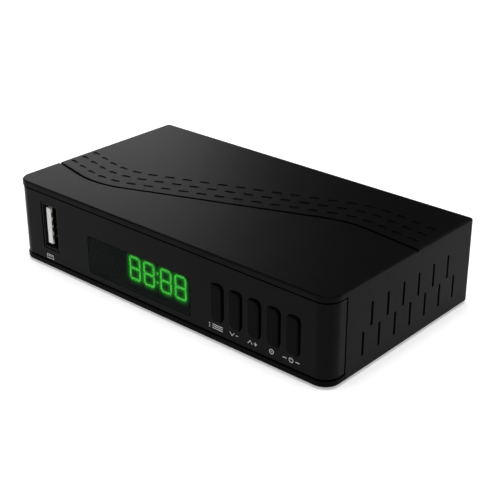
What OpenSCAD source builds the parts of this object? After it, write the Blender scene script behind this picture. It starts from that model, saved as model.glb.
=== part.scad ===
// Terrestrial television receiver in a flat plastic case.
// The model frame has x across the front, y from front to rear and z up from the table.
// Inside this file the front edge of the case is y = 0, and seat() moves the whole to its origin.

/* [Case] */
// Width of the case
case_w = 116; // [112:1:140]
// Depth of the case from its front edge to its rear edge
case_d = 63; // [62:1:80]
// Height of the case without its feet
case_h = 25; // [24.5:0.5:34]
// Thickness of the top plate and of the base plate
plate_t = 1.7; // [1.5:0.1:2.4]
// Thickness of the side walls
wall_t = 1.8; // [1.5:0.1:2.4]
// Plan radius of the two front corners
front_corner_r = 4.5; // [4.5:0.5:7]
// Plan radius of the two rear corners
rear_corner_r = 1; // [1:0.25:3]
// Rounding along the outer edges of both plates
edge_r = 0.5; // [0.3:0.1:0.9]
// Height of the shadow gap above and below the front panel
seam = 0.5; // [0.2:0.1:0.8]
// Depth of the shadow gap above and below the front panel
seam_depth = 0.9; // [0.5:0.1:1.4]
// Gap between a side wall and the pieces that it meets on edge
side_seam = 0.25; // [0.15:0.05:0.5]
// Clearance where one moulding drops into another
drop_fit = 0.15; // [0.1:0.05:0.3]

/* [Top pattern] */
// Width of the curved groove
groove_w = 1; // [0.4:0.1:1.2]
// Depth of the curved groove
groove_depth = 0.5; // [0.3:0.1:0.9]
// Bend radius of the groove
groove_r = 29; // [20:1:32]
// Number of steps in a bend of the groove
groove_steps = 12; // [6:1:24]
// Groove distance from the front edge at the left side
groove_left_y = 16.5; // [14:0.5:19]
// Groove distance from the front edge at the right side
groove_right_y = 36; // [33:0.5:39]
// Corner of the low bend, to the left of the middle
groove_low_x = 37.3; // [34:0.1:40]
// Corner of the low bend, behind the front edge
groove_low_y = 11.7; // [10:0.1:14]
// Corner of the high bend, to the right of the middle
groove_high_x = 34.1; // [31:0.1:36]
// Corner of the high bend, behind the front edge
groove_high_y = 38.9; // [37:0.1:41]
// Number of dash rows behind the groove
dash_rows = 3; // [1:1:4]
// Distance from the groove to the first row
dash_first = 4; // [2.5:0.1:5]
// Distance between dash rows
dash_row_pitch = 4.4; // [3:0.1:5]
// Distance between dashes along a row
dash_pitch = 5.15; // [4.5:0.05:8]
// Length of a dash
dash_len = 3; // [1.5:0.1:4]
// Width of a dash
dash_w = 1.1; // [0.6:0.1:1.4]
// Depth of a dash
dash_depth = 0.2; // [0.2:0.1:0.9]
// Plain margin at the left and right ends of the rows
dash_margin = 3; // [2.5:0.5:12]

/* [Side vents] */
// Number of slots in the lower row
vent_count = 7; // [3:1:7]
// Distance between slots
vent_pitch = 6.83; // [5:0.01:7]
// Width of a slot
vent_w = 0.9; // [0.6:0.1:1.6]
// Height of a slot
vent_h = 6.8; // [4:0.1:8]
// Height of the plain strip between the two rows
vent_web = 0.4; // [0.3:0.1:2]
// Middle of the two rows above the underside of the case
vent_z = 11.2; // [11:0.1:13]
// First slot of the lower row behind the front edge
vent_first_y = 13.6; // [10:0.1:14]

/* [Front panel] */
// Thickness of the front panel
front_t = 2; // [1.8:0.1:2.6]
// Setback of the front panel from the edges of the plates
front_setback = 0.2; // [0.1:0.05:0.5]
// Depth to which the front panel wraps round the sides
front_return = 6.6; // [6:0.1:8]
// Width of the display window
window_w = 40; // [38:0.5:44]
// Height of the display window
window_h = 11.4; // [10.6:0.1:13]
// Corner radius of the display window
window_r = 1; // [0.5:0.1:2]
// Middle of the display window to the left of the display's middle
window_shift = 5.4; // [5:0.1:5.8]
// Width of the ledge behind the window
ledge_w = 1.2; // [0.8:0.1:2]
// Thickness of the window's flange
ledge_t = 0.8; // [0.5:0.1:1.2]

/* [Keys] */
// Distance between keys
key_pitch = 6.3; // [6.2:0.05:7]
// Width of a key cap
key_w = 4.1; // [3.8:0.1:4.8]
// Height of a key cap
key_h = 10.9; // [8:0.1:12]
// Corner radius of a key cap
key_r = 1.6; // [1:0.1:1.8]
// Rounding along the front edge of a key cap
key_edge = 0.4; // [0.2:0.1:0.6]
// Distance that a key stands proud of the front panel
key_proud = 0.7; // [0.6:0.1:1.2]
// Travel of a key
key_travel = 0.5; // [0.3:0.1:0.5]
// Gap round a key cap
key_gap = 0.2; // [0.15:0.05:0.3]
// Play between a key's flange and the front panel
key_play = 0.1; // [0.05:0.05:0.2]
// Width of the flange at each side of a key cap
key_flange_side = 0.6; // [0.4:0.1:0.65]
// Width of the flange above and below a key cap
key_flange_end = 1; // [0.6:0.1:1.4]
// Thickness of a key's flange
key_flange_t = 0.8; // [0.6:0.1:1]
// Middle of the keys above the underside of the case
key_z = 11.4; // [11:0.05:13]
// Middle of the last key from the right side of the case
key_right = 11.25; // [10:0.05:12]
// Radius of a key's stem
stem_r = 1.4; // [1:0.1:1.6]

/* [Switches] */
// Width and height of a switch body
switch_w = 6; // [5.6:0.1:6.1]
// Depth of a switch body
switch_t = 3.4; // [3:0.1:3.6]
// Distance from the front board to the tip of a switch plunger
plunger_reach = 5; // [4.8:0.1:5]
// Radius of a switch plunger
plunger_r = 1.7; // [1.2:0.1:2]
// Clearance round a switch plunger
plunger_gap = 0.15; // [0.1:0.05:0.3]
// Depth to which a plunger sits in its switch at rest
plunger_in = 1; // [0.6:0.1:1.4]
// Spare depth below a plunger that is fully pressed
plunger_spare = 0.4; // [0.2:0.1:0.6]

/* [Display] */
// Width of the display block
display_w = 30.2; // [28:0.1:31]
// Height of the display block
display_h = 10; // [9:0.1:10.4]
// Depth of the display block
display_t = 6.1; // [5.8:0.1:7]
// Gap between the window and the display block
display_gap = 0.3; // [0.2:0.1:0.6]
// Middle of the display above the underside of the case
display_z = 9.6; // [9.5:0.1:13]
// Distance between the display block and the first switch
display_space = 6; // [1.5:0.1:7]
// Height of a digit
digit_h = 7.3; // [5:0.1:7.6]
// Width of a digit
digit_w = 4.4; // [3.4:0.1:4.6]
// Distance between digits
digit_pitch = 5.5; // [5.2:0.05:6]
// Extra distance between the second and third digits
colon_space = 1; // [0.8:0.1:1.6]
// Stroke of a segment
segment_w = 0.65; // [0.5:0.05:1]
// Gap between two segments
segment_gap = 0.15; // [0.1:0.05:0.3]
// Thickness of a segment
segment_t = 0.3; // [0.2:0.1:0.6]
// Clearance round a segment in the display block
segment_fit = 0.05; // [0.02:0.01:0.08]
// Radius of a colon dot
colon_r = 0.4; // [0.25:0.05:0.5]
// Distance between the colon dots
colon_pitch = 2.8; // [2:0.1:3.6]
// Width of the infrared receiver
ir_w = 5.6; // [5:0.1:6]
// Height of the infrared receiver
ir_h = 6.8; // [6:0.1:8]
// Depth of the infrared receiver's block
ir_t = 3.6; // [3:0.1:4]
// Radius of the infrared receiver's dome
ir_dome_r = 2.2; // [1.6:0.1:2.4]
// Distance between the display block and the infrared receiver
ir_space = 2.1; // [1:0.1:2.4]

/* [Boards] */
// Thickness of both boards
board_t = 1.6; // [1:0.1:1.8]
// Height of the pillars under the main board
pillar_h = 3.1; // [2.9:0.1:3.6]
// Radius of a pillar under the main board
pillar_r = 2.5; // [2.2:0.1:3]
// Plain edge of the front board beyond the last switch
front_board_edge = 0.8; // [0.4:0.1:1]
// Plain end of the front board beyond the infrared receiver
front_board_end = 4.1; // [3:0.1:4.4]
// Height of the front board
front_board_h = 18.4; // [17.5:0.1:19]
// Height of the front board's lower edge above the base plate
front_board_z = 1; // [0.6:0.1:1.4]
// Distance between the front board and the main board
board_space = 2.2; // [2:0.1:3]
// Plain edge of the main board's tongue beyond the front socket
tongue_edge = 1.6; // [1:0.1:2]
// Distance from the front panel to the tongue of the main board
tongue_gap = 0.5; // [0.3:0.1:1]
// Distance from the rear panel to the main board
board_rear_gap = 0.8; // [0.6:0.1:1.5]
// Distance from the main board to the cover's posts
board_side_gap = 0.6; // [0.4:0.1:1]
// Number of link pins between the boards
link_count = 8; // [4:1:10]
// Distance between link pins
link_pitch = 2.54; // [2:0.01:2.54]
// Thickness of a link pin
link_pin = 0.64; // [0.5:0.02:0.7]
// Height and depth of the link header
link_block = 2.5; // [2:0.1:3]
// Middle of the link header to the right of the case's middle
link_off = 8; // [0:0.5:12]

/* [Front socket] */
// Middle of the front socket from the left side of the case
usb_left = 13.8; // [13.6:0.05:16]
// Gap round the socket's mouth in the front panel
usb_cut_gap = 0.3; // [0.2:0.05:0.6]
// Corner radius of the cut-out in the front panel
usb_cut_r = 0.6; // [0.3:0.1:1]
// Width inside the socket shell
usb_in_w = 5.12; // [5.1:0.01:5.2]
// Height inside the socket shell
usb_in_h = 12.5; // [12.4:0.05:12.6]
// Thickness of the socket shell
usb_shell_t = 0.35; // [0.3:0.05:0.4]
// Corner radius inside the socket shell
usb_in_r = 0.5; // [0.3:0.1:0.8]
// Length of the socket
usb_len = 14.5; // [13:0.5:17]
// Depth of the socket's mouth behind the front panel's face
usb_recess = 0.2; // [0.2:0.1:0.8]
// Spread of the flared mouth at each side
usb_flare = 0.4; // [0.2:0.1:0.6]
// Length of the flared mouth
usb_flare_len = 0.7; // [0.5:0.1:1]
// Thickness of the socket's tongue
usb_tongue_t = 1.84; // [1.7:0.02:1.9]
// Height of the socket's tongue
usb_tongue_h = 11.1; // [10.9:0.1:11.2]
// Gap between the tongue and the shell wall beside it
usb_tongue_gap = 0.66; // [0.6:0.02:0.7]
// Depth of the tongue's tip behind the mouth
usb_tip = 0.4; // [0.4:0.1:1]
// Depth of the block that closes the socket at the rear
usb_block = 4.5; // [3:0.5:5]
// Width of a socket contact
usb_contact_w = 1; // [0.8:0.1:1.2]
// Thickness of a socket contact
usb_contact_t = 0.3; // [0.2:0.05:0.4]
// Distance between the two middle contacts
usb_contact_inner = 2; // [1.8:0.1:2.2]
// Distance between the two outer contacts
usb_contact_outer = 7; // [6.8:0.1:7.2]

/* [Rear panel] */
// Thickness of the rear panel
panel_t = 1.5; // [1:0.1:2]
// Depth of the frame that holds the rear panel
frame_t = 1; // [0.8:0.1:1.4]
// Width of the frame that holds the rear panel
frame_w = 1.5; // [1:0.1:1.6]
// Height of the sill behind the rear panel
sill_h = 1.2; // [0.8:0.1:2]
// Thickness of the guide ribs before the rear panel
guide_t = 1.2; // [0.8:0.1:1.4]
// Gap round a connector in the rear panel
panel_gap = 0.3; // [0.2:0.05:0.5]
// Distance from the rear panel to the blocks of the connectors
block_gap = 0.3; // [0.2:0.05:0.6]
// Middle of the round connectors above the main board
port_z = 6.6; // [6.4:0.1:7]
// Width of the collar at the root of a barrel
collar_w = 0.5; // [0.4:0.05:0.6]
// Distance that a collar stands behind the rear panel
collar_proud = 0.4; // [0.2:0.1:1]

/* [Tuner] */
// Width of the tuner can
tuner_w = 28; // [26.5:0.5:30]
// Depth of the tuner can
tuner_d = 22; // [18:0.5:24]
// Height of the tuner can
tuner_h = 12.6; // [12.4:0.1:14]
// Thickness of the tuner's sheet metal
tuner_sheet = 0.5; // [0.4:0.05:0.7]
// Height of the tuner lid's skirt
lid_skirt = 2.4; // [1.5:0.1:4]
// Clearance between the tuner lid and the tuner frame
lid_fit = 0.08; // [0.05:0.01:0.12]
// Distance between the two antenna connectors
antenna_pitch = 14; // [13:0.5:14.5]
// Distance that the antenna connectors stand behind the rear panel
antenna_reach = 9.5; // [8.5:0.5:12]
// Bore of the antenna input
antenna_in_bore = 9.5; // [9.4:0.05:9.6]
// Outside diameter of the antenna output
antenna_out_od = 9.4; // [9.3:0.05:9.5]
// Wall of both antenna connectors
antenna_wall = 0.7; // [0.5:0.05:0.9]
// Length of the insulators in the antenna connectors
antenna_insulator = 3.5; // [2.5:0.5:5]
// Outside diameter of the antenna input's contact
antenna_contact_od = 4; // [3.6:0.1:4.4]
// Bore of the antenna input's contact
antenna_contact_bore = 2.4; // [2.3:0.05:2.5]
// Depth of the contact's tip behind the mouth of the antenna input
antenna_contact_tip = 1.5; // [1:0.5:3]
// Diameter of the antenna output's pin
antenna_pin_d = 2.34; // [2.2:0.02:2.4]
// Clearance between the antenna connectors' inner pieces
antenna_fit = 0.05; // [0.03:0.01:0.08]

/* [Video and sound sockets] */
// Distance between the sockets
av_pitch = 11; // [10.5:0.1:11.8]
// Outside diameter of a socket's barrel
av_barrel_od = 8.3; // [8.2:0.02:8.4]
// Wall of a socket's barrel
av_wall = 0.6; // [0.4:0.05:0.8]
// Distance that the sockets stand behind the rear panel
av_reach = 8.4; // [7:0.2:9.4]
// Depth of a socket's insulator behind the mouth of the barrel
av_insulator_in = 0.8; // [0.4:0.1:1.5]
// Hole for a plug's pin
av_hole_d = 3.3; // [3.2:0.02:3.4]
// Depth of the hole for a plug's pin
av_hole_depth = 8.5; // [7.5:0.5:9]
// Wall of a socket's inner contact
av_contact_t = 0.25; // [0.2:0.05:0.3]
// Length of a socket's inner contact
av_contact_len = 4; // [3:0.5:5]
// Clearance between the sockets' pieces
av_fit = 0.06; // [0.04:0.01:0.1]
// Depth of the sockets' block
av_block_d = 9.5; // [8:0.5:11]
// Height of the sockets' block
av_block_h = 12.4; // [12:0.1:13]
// Plain edge of the sockets' block beyond the outer barrels
av_block_edge = 1.6; // [1:0.1:2]

/* [Digital video socket] */
// Width inside the digital video socket
hdmi_in_w = 14; // [13.9:0.05:14.1]
// Height inside the digital video socket
hdmi_in_h = 4.55; // [4.5:0.05:4.6]
// Thickness of the digital video socket's shell
hdmi_shell_t = 0.4; // [0.3:0.05:0.5]
// Width of the slanted lower corners of the digital video socket
hdmi_slant = 1.4; // [1:0.1:1.8]
// Length of the digital video socket
hdmi_len = 12; // [10:0.5:14]
// Distance that the digital video socket stands behind the rear panel
hdmi_proud = 0.4; // [0.2:0.1:0.8]
// Depth of the tongue's tip behind the mouth
hdmi_tip = 1; // [0.6:0.1:1.5]
// Thickness of the tongue
hdmi_tongue_t = 1.2; // [1:0.1:1.4]
// Width of the tongue
hdmi_tongue_w = 11.6; // [11:0.1:12]
// Depth of the block that closes the digital video socket at the front
hdmi_block = 3.5; // [2:0.5:4]

/* [Power inlet] */
// Width of the power inlet
dc_w = 9; // [8.6:0.1:9.4]
// Height of the power inlet
dc_h = 11; // [10.6:0.1:11.4]
// Depth of the power inlet
dc_d = 13; // [11:0.5:14]
// Bore of the power inlet
dc_bore = 6.3; // [6:0.1:6.5]
// Depth of the bore of the power inlet
dc_bore_depth = 9; // [8:0.5:9.5]
// Diameter of the power inlet's pin
dc_pin_d = 2.1; // [2:0.05:2.2]
// Depth of the pin's tip behind the mouth of the power inlet
dc_tip = 1; // [0.5:0.1:1.5]
// Depth to which the pin is set into its block
dc_pin_root = 1.5; // [1:0.1:2]
// Diameter of the pin's root
dc_root_d = 2.8; // [2.4:0.1:3.2]
// Clearance round the root of the pin
dc_pin_fit = 0.05; // [0.03:0.01:0.08]

/* [Board parts] */
// Width and depth of the main chip
chip_w = 14; // [12:0.5:16]
// Thickness of the main chip
chip_t = 1.4; // [1:0.1:1.8]
// Middle of the main chip to the left of the case's middle
chip_off = 4; // [2:0.5:5]
// Middle of the main chip behind the front edge of the main board
chip_y = 15; // [14:0.5:16]
// Width and depth of the heat sink
sink_w = 20; // [16.5:0.5:21]
// Thickness of the heat sink's plate
sink_base = 1.6; // [1:0.1:2.4]
// Height of the heat sink's fins
sink_fin_h = 6; // [3:0.5:7]
// Thickness of a fin
sink_fin_t = 0.9; // [0.6:0.1:1.2]
// Number of fins
sink_fins = 7; // [4:1:9]
// Width of a memory chip
memory_w = 8; // [7:0.5:9]
// Length of a memory chip
memory_l = 11; // [9:0.5:12]
// Thickness of a memory chip
memory_t = 1.1; // [0.9:0.1:1.4]
// Distance between the two memory chips
memory_pitch = 13; // [12.5:0.5:14]
// Middle of the memory chips to the right of the case's middle
memory_off = 23.5; // [23:0.5:26]
// Distance between the tuner can and the memory chips
memory_gap = 0.8; // [0.5:0.1:1.5]
// Width of a power coil
coil_w = 7; // [6:0.5:8]
// Height of a power coil
coil_h = 4; // [3:0.5:5]
// Corner radius of a power coil
coil_r = 1.5; // [0.8:0.1:2]
// Distance between the two power coils
coil_pitch = 9.5; // [9:0.5:11]
// Middle of the power coils to the right of the power inlet's middle
coil_shift = 9.5; // [9:0.5:10]
// Diameter of a smoothing capacitor
cap_d = 6.3; // [5:0.1:6.5]
// Height of a smoothing capacitor
cap_h = 9; // [7:0.5:11]
// Depth and half width of the neck near the foot of a capacitor
cap_neck = 0.3; // [0.2:0.05:0.5]
// Height of the neck above the foot of a capacitor
cap_neck_z = 1.2; // [0.8:0.1:2]
// Distance between the smoothing capacitors
cap_pitch = 7.4; // [7.2:0.1:8]
// Number of smoothing capacitors
cap_count = 3; // [1:1:3]
// Row of the capacitors and coils behind the front edge of the main board
power_row_y = 30.5; // [30:0.5:31]
// Length of the crystal can
crystal_l = 11; // [9:0.5:12]
// Width of the crystal can
crystal_w = 4.6; // [4:0.1:5]
// Height of the crystal can
crystal_h = 3.5; // [3:0.1:4]
// Middle of the crystal can to the left of the case's middle
crystal_off = 22; // [21:0.5:23]

/* [Fasteners and feet] */
// Radius of the cover's posts
post_r = 2.8; // [2.6:0.1:3]
// Distance from a post's middle to the side wall's inner face
post_in = 3.6; // [3.4:0.1:4]
// Front posts behind the front edge
post_front_y = 15; // [14.8:0.1:17]
// Rear posts before the rear edge
post_rear_y = 6.4; // [6.2:0.1:8]
// Thickness of the ribs that tie the posts to the side walls
rib_t = 1.2; // [0.8:0.1:1.6]
// Radius of the base plate's screw bosses
boss_r = 3.2; // [3:0.1:3.3]
// Height of the base plate's screw bosses
boss_h = 1.6; // [1.2:0.1:2.4]
// Radius of a case screw's shank
case_screw_r = 1.3; // [1:0.05:1.4]
// Length of a case screw under its head
case_screw_len = 9; // [6:0.5:12]
// Radius of a case screw's head
case_head_r = 2.2; // [1.8:0.1:2.3]
// Height of a case screw's head
case_head_h = 1.6; // [1:0.1:1.8]
// Depth of a case screw's head in the base plate
case_head_in = 0.3; // [0.2:0.1:0.5]
// Radius of a board screw's shank
board_screw_r = 1; // [0.8:0.05:1.1]
// Length of a board screw under its head
board_screw_len = 4; // [3:0.1:4.2]
// Radius of a board screw's head
board_head_r = 1.9; // [1.5:0.1:2]
// Height of a board screw's head
board_head_h = 1.3; // [0.8:0.1:1.6]
// Width of the cross recess in a screw head
cross_w = 0.6; // [0.4:0.1:0.8]
// Depth of the cross recess in a screw head
cross_depth = 0.8; // [0.5:0.1:1]
// Length of the cross recess, as a share of the head's diameter
cross_share = 0.6; // [0.4:0.05:0.7]
// Clearance round a screw
screw_fit = 0.1; // [0.05:0.01:0.15]
// Board screws from the side edges of the main board
board_screw_in = 3.2; // [2.8:0.1:3.4]
// Front board screws behind the front edge
board_screw_front = 18.4; // [18.2:0.1:19]
// Distance between the front and rear board screws
board_screw_pitch = 17; // [15:0.5:18]
// Radius of a foot
foot_r = 4.5; // [3:0.1:5]
// Distance that a foot stands proud of the base plate
foot_h = 0.6; // [0.4:0.1:1.5]
// Depth of the recess that holds a foot
foot_in = 0.7; // [0.4:0.1:0.9]
// Chamfer round a foot
foot_chamfer = 0.3; // [0.1:0.1:0.4]
// Feet from the left and right sides
foot_side = 14; // [13.5:0.5:18]
// Feet from the front and rear edges
foot_end = 9; // [8:0.5:12]
// Height of the base plate's locating lip
lip_h = 2; // [1.2:0.1:2.2]
// Thickness of the base plate's locating lip
lip_t = 1; // [0.8:0.1:1.4]
// Number of slots in the base plate
floor_slots = 11; // [3:1:11]
// Distance between the slots in the base plate
floor_pitch = 6; // [4:0.5:6]
// Width of a slot in the base plate
floor_slot_w = 1.6; // [1:0.1:2.4]
// Length of a slot in the base plate
floor_slot_l = 18; // [10:0.5:20]
// Width of the holders of the front board
holder_w = 4; // [3:0.5:6]
// Wall of the holders of the front board
holder_t = 1.2; // [0.8:0.1:1.2]
// Height of the holders of the front board
holder_h = 3; // [2:0.1:3]

/* [Hidden] */
$fn = 64;
// Least radius left on an inner corner, and the overlap of a cut past a face
least_r = 0.1;
over = 1;

// Heights
base_top = foot_h + plate_t;
case_top = foot_h + case_h;
top_under = case_top - plate_t;
board_under = base_top + pillar_h;
board_top = board_under + board_t;
port_mid = board_top + port_z;
key_mid = foot_h + key_z;
display_mid = foot_h + display_z;
front_board_low = base_top + front_board_z;
boss_top = base_top + boss_h;
frame_low = base_top + side_seam;
rows_mid = foot_h + vent_z;
front_h = top_under - base_top;

// Depths, from the front edge to the rear
front_back = front_setback + front_t;
display_front = front_back + display_gap;
front_board_y = display_front + display_t;
front_board_back = front_board_y + board_t;
main_front = front_board_back + board_space;
panel_back = case_d - frame_t - drop_fit;
panel_front = panel_back - panel_t;
block_back = panel_front - block_gap;
main_back = panel_front - board_rear_gap;
wall_front = front_return + side_seam;
plunger_tip = front_board_y - plunger_reach;
switch_front = front_board_y - switch_t;
plunger_foot = switch_front + plunger_in;
rear_tip = panel_back + max(antenna_reach, av_reach);
middle_y = (rear_tip + front_setback - key_proud) / 2;
post_back_y = case_d - post_rear_y;

// Widths, from the middle
half_w = case_w / 2;
wall_in = half_w - wall_t;
post_x = wall_in - post_in;
board_half = post_x - post_r - board_side_gap;
board_screw_x = board_half - board_screw_in;
usb_x = usb_left - half_w;
key_count = 5;
key_xs = [for (i = [key_count - 1:-1:0]) half_w - key_right - i * key_pitch];
front_board_right = key_xs[key_count - 1] + switch_w / 2 + front_board_edge;
display_x = key_xs[0] - switch_w / 2 - display_space - display_w / 2;
window_x = display_x - window_shift;
ir_x = display_x - display_w / 2 - ir_space - ir_w / 2;
front_board_left = ir_x - ir_w / 2 - front_board_end;

// Sizes that several pieces share
usb_out_w = usb_in_w + 2 * usb_shell_t;
usb_out_h = usb_in_h + 2 * usb_shell_t;
usb_cut = 2 * (usb_flare + usb_shell_t + usb_cut_gap);
usb_mid = board_top + usb_out_h / 2;
usb_front = front_setback + usb_recess;
usb_tongue_x = usb_x - usb_in_w / 2 + usb_tongue_gap;

// Rear connectors: a row that shares the spare width between the posts in even gaps
row_half = post_x - post_r;
row_gaps = 5;
av_w = 2 * av_pitch + av_barrel_od + 2 * av_block_edge;
hdmi_w = hdmi_in_w + 2 * hdmi_shell_t;
row_gap = (2 * row_half - dc_w - av_w - hdmi_w - tuner_w) / row_gaps;
dc_x = row_gap + dc_w / 2 - row_half;
av_x = dc_x + dc_w / 2 + row_gap + av_w / 2;
hdmi_x = av_x + av_w / 2 + row_gap + hdmi_w / 2;
tuner_x = hdmi_x + hdmi_w / 2 + row_gap + tuner_w / 2;
av_xs = [for (i = [-1:1]) av_x + i * av_pitch];
antenna_in_x = tuner_x + antenna_pitch / 2;
antenna_out_x = tuner_x - antenna_pitch / 2;
tuner_front = block_back - tuner_d;
memory_back = tuner_front - memory_gap;
hdmi_mid = board_top + hdmi_shell_t + hdmi_in_h / 2;
hdmi_back = panel_back + hdmi_proud;
antenna_in_r = antenna_in_bore / 2 + antenna_wall;
antenna_out_r = antenna_out_od / 2;
antenna_back = panel_back + antenna_reach;
av_r = av_barrel_od / 2;
av_back = panel_back + av_reach;
av_insulator_back = av_back - av_insulator_in;
dc_mid = board_top + dc_h / 2;
dc_bore_end = block_back - dc_bore_depth;
case_head_low = foot_h + case_head_in;
case_head_top = case_head_low + case_head_h;
edge = min(edge_r, rear_corner_r - least_r);
chip_at = main_front + chip_y;
power_row = main_front + power_row_y;

// Groove: three straight runs joined by two bends of one radius
low = [-groove_low_x, groove_low_y];
high = [groove_high_x, groove_high_y];
run_a = atan2(low.y - groove_left_y, low.x + half_w);
run_b = atan2(high.y - low.y, high.x - low.x);
run_c = atan2(groove_right_y - high.y, half_w - high.x);
function along(a, d) = d * [cos(a), sin(a)];
low_in = low - along(run_a, groove_r * tan((run_b - run_a) / 2));
low_out = low + along(run_b, groove_r * tan((run_b - run_a) / 2));
high_in = high - along(run_b, groove_r * tan((run_b - run_c) / 2));
high_out = high + along(run_c, groove_r * tan((run_b - run_c) / 2));
low_mid = low_in + along(run_a + 90, groove_r);
high_mid = high_in + along(run_b - 90, groove_r);
function bend(mid, from, to, r) =
  [for (i = [0:groove_steps]) mid + along(from + (to - from) * i / groove_steps, r)];
function groove_side(off) = concat(
  [low_in - along(run_a, half_w) + along(run_a + 90, off)],
  bend(low_mid, run_a - 90, run_b - 90, groove_r - off),
  bend(high_mid, run_b + 90, run_c + 90, groove_r + off),
  [high_out + along(run_c, half_w) + along(run_c + 90, off)]
);
function groove_y(x) =
  x < low_in.x ? low.y + (x - low.x) * tan(run_a)
  : x < low_out.x ? low_mid.y - sqrt(groove_r ^ 2 - (x - low_mid.x) ^ 2)
  : x < high_in.x ? low.y + (x - low.x) * tan(run_b)
  : x < high_out.x ? high_mid.y + sqrt(groove_r ^ 2 - (x - high_mid.x) ^ 2)
  : high.y + (x - high.x) * tan(run_c);
function groove_a(x) = atan2(groove_y(x + least_r) - groove_y(x - least_r), 2 * least_r);

// Colours
case_black = [0.13, 0.13, 0.14];
panel_black = [0.06, 0.06, 0.07];
key_black = [0.1, 0.1, 0.11];
smoke = [0.04, 0.06, 0.05];
lit_green = [0.25, 0.95, 0.25];
board_green = [0.08, 0.32, 0.16];
tin = [0.75, 0.76, 0.77];
steel = [0.55, 0.56, 0.58];
contact_gold = [0.83, 0.68, 0.35];
white_plastic = [0.88, 0.88, 0.85];
dark_plastic = [0.08, 0.08, 0.08];
chip_grey = [0.15, 0.15, 0.16];
rubber_black = [0.05, 0.05, 0.05];

// Moves the case frame to the origin: the middle of the whole object's outline, on the table
module seat() translate([0, -middle_y, 0]) children();

// Box between two corners
module slab(from, to) translate(from) cube(to - from);

// Drawing in x and z, carried from one depth to another
module along_y(y0, y1) translate([0, y1, 0]) rotate([90, 0, 0]) linear_extrude(y1 - y0) children();

// Drawing in y and z, carried from one side to another
module along_x(x0, x1) translate([x0, 0, 0]) rotate([90, 0, 90]) linear_extrude(x1 - x0) children();

// Round bar and round tube from one depth to another
module bar(x, z, r, y0, y1) translate([x, y0, z]) rotate([-90, 0, 0]) cylinder(r = r, h = y1 - y0);
module tube(x, z, r_out, r_in, y0, y1) difference() {
  bar(x, z, r_out, y0, y1);
  bar(x, z, r_in, y0 - over, y1 + over);
}

// Barrel of a rear connector, with a collar where it passes the rear panel
module barrel(x, r_out, r_in, y1) {
  tube(x, port_mid, r_out, r_in, block_back, y1);
  tube(x, port_mid, r_out + collar_w, r_in, block_back, panel_back + collar_proud);
}

// Rectangle with round corners, about its middle
module round_rect(w, h, r) {
  square([w - 2 * r, h], center = true);
  square([w, h - 2 * r], center = true);
  for (i = [-1, 1], j = [-1, 1]) translate([i * (w / 2 - r), j * (h / 2 - r)]) circle(r);
}

// Outline of the case in plan, drawn in by an inset
module plan(inset = 0) {
  front_r = max(front_corner_r - inset, least_r);
  rear_r = max(rear_corner_r - inset, least_r);
  w = half_w - inset;
  back = case_d - inset;
  translate([-w, inset + front_r]) square([2 * w, back - rear_r - inset - front_r]);
  translate([front_r - w, inset]) square([2 * (w - front_r), case_d / 2]);
  translate([rear_r - w, case_d / 2]) square([2 * (w - rear_r), back - case_d / 2]);
  for (i = [-1, 1]) {
    translate([i * (w - front_r), inset + front_r]) circle(front_r);
    translate([i * (w - rear_r), back - rear_r]) circle(rear_r);
  }
}

// Waste outside a rounded edge: the edge runs along the drawing's origin, the solid is right and below
module edge_waste(r) polygon([
  [-over, over], [r, over], [r, 0], [r / 2, -r * (1 - sin(60))],
  [r * (1 - cos(30)), -r / 2], [0, -r], [-over, -r]
]);

// Waste round the upper edge of a plate whose outline has round corners
module rim_waste(w, d, front_r, rear_r, r) {
  along_x(front_r - w / 2, w / 2 - front_r) edge_waste(r);
  translate([0, d, 0]) mirror([0, 1, 0]) along_x(rear_r - w / 2, w / 2 - rear_r) edge_waste(r);
  for (m = [0, 1]) mirror([m, 0, 0]) {
    translate([-w / 2, 0, 0]) along_y(front_r, d - rear_r) edge_waste(r);
    translate([front_r - w / 2, front_r, 0]) corner_waste(front_r, r, 180);
    translate([rear_r - w / 2, d - rear_r, 0]) corner_waste(rear_r, r, 90);
  }
}
module corner_waste(corner_r, r, start) rotate(start) rotate_extrude(angle = 90)
  translate([corner_r, 0]) mirror([1, 0]) edge_waste(r);

// Lower shell: plate with a rounded edge, locating lips, pillars, bosses and holders
module base_tray() color(case_black) seat() difference() {
  union() {
    translate([0, 0, foot_h]) linear_extrude(plate_t) base_plan();
    base_lips();
    base_holders();
    for (i = [-1, 1]) {
      for (y = [post_front_y, post_back_y]) translate([i * post_x, y, foot_h])
        cylinder(r = boss_r, h = plate_t + boss_h);
      for (y = board_screw_ys()) translate([i * board_screw_x, y, foot_h])
        cylinder(r = pillar_r, h = plate_t + pillar_h);
    }
  }
  translate([0, 0, foot_h]) mirror([0, 0, 1]) rim_waste(case_w, case_d, front_corner_r, rear_corner_r, edge);
  for (i = [-1, 1]) {
    for (y = [post_front_y, post_back_y]) translate([i * post_x, y, 0]) {
      cylinder(r = case_head_r + screw_fit, h = case_head_top);
      cylinder(r = case_screw_r + screw_fit, h = boss_top + over);
    }
    for (y = board_screw_ys()) translate([i * board_screw_x, y, base_top])
      cylinder(r = board_screw_r + screw_fit, h = pillar_h + over);
    for (y = [foot_end, case_d - foot_end]) translate([i * (half_w - foot_side), y, 0])
      cylinder(r = foot_r + drop_fit, h = foot_h + foot_in);
  }
  for (i = [0:floor_slots - 1])
    translate([(i - (floor_slots - 1) / 2) * floor_pitch, (main_front + main_back) / 2, foot_h - over])
    linear_extrude(plate_t + 2 * over) round_rect(floor_slot_w, floor_slot_l, floor_slot_w / 2 - least_r);
}
// Base plate in plan: whole width under the front panel, and between the side walls behind it
module base_plan() difference() {
  plan();
  for (m = [0, 1]) mirror([m, 0]) translate([wall_in - drop_fit, front_return])
    square([wall_t + drop_fit + over, case_d]);
}
function board_screw_ys() = [board_screw_front, board_screw_front + board_screw_pitch];

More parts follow.
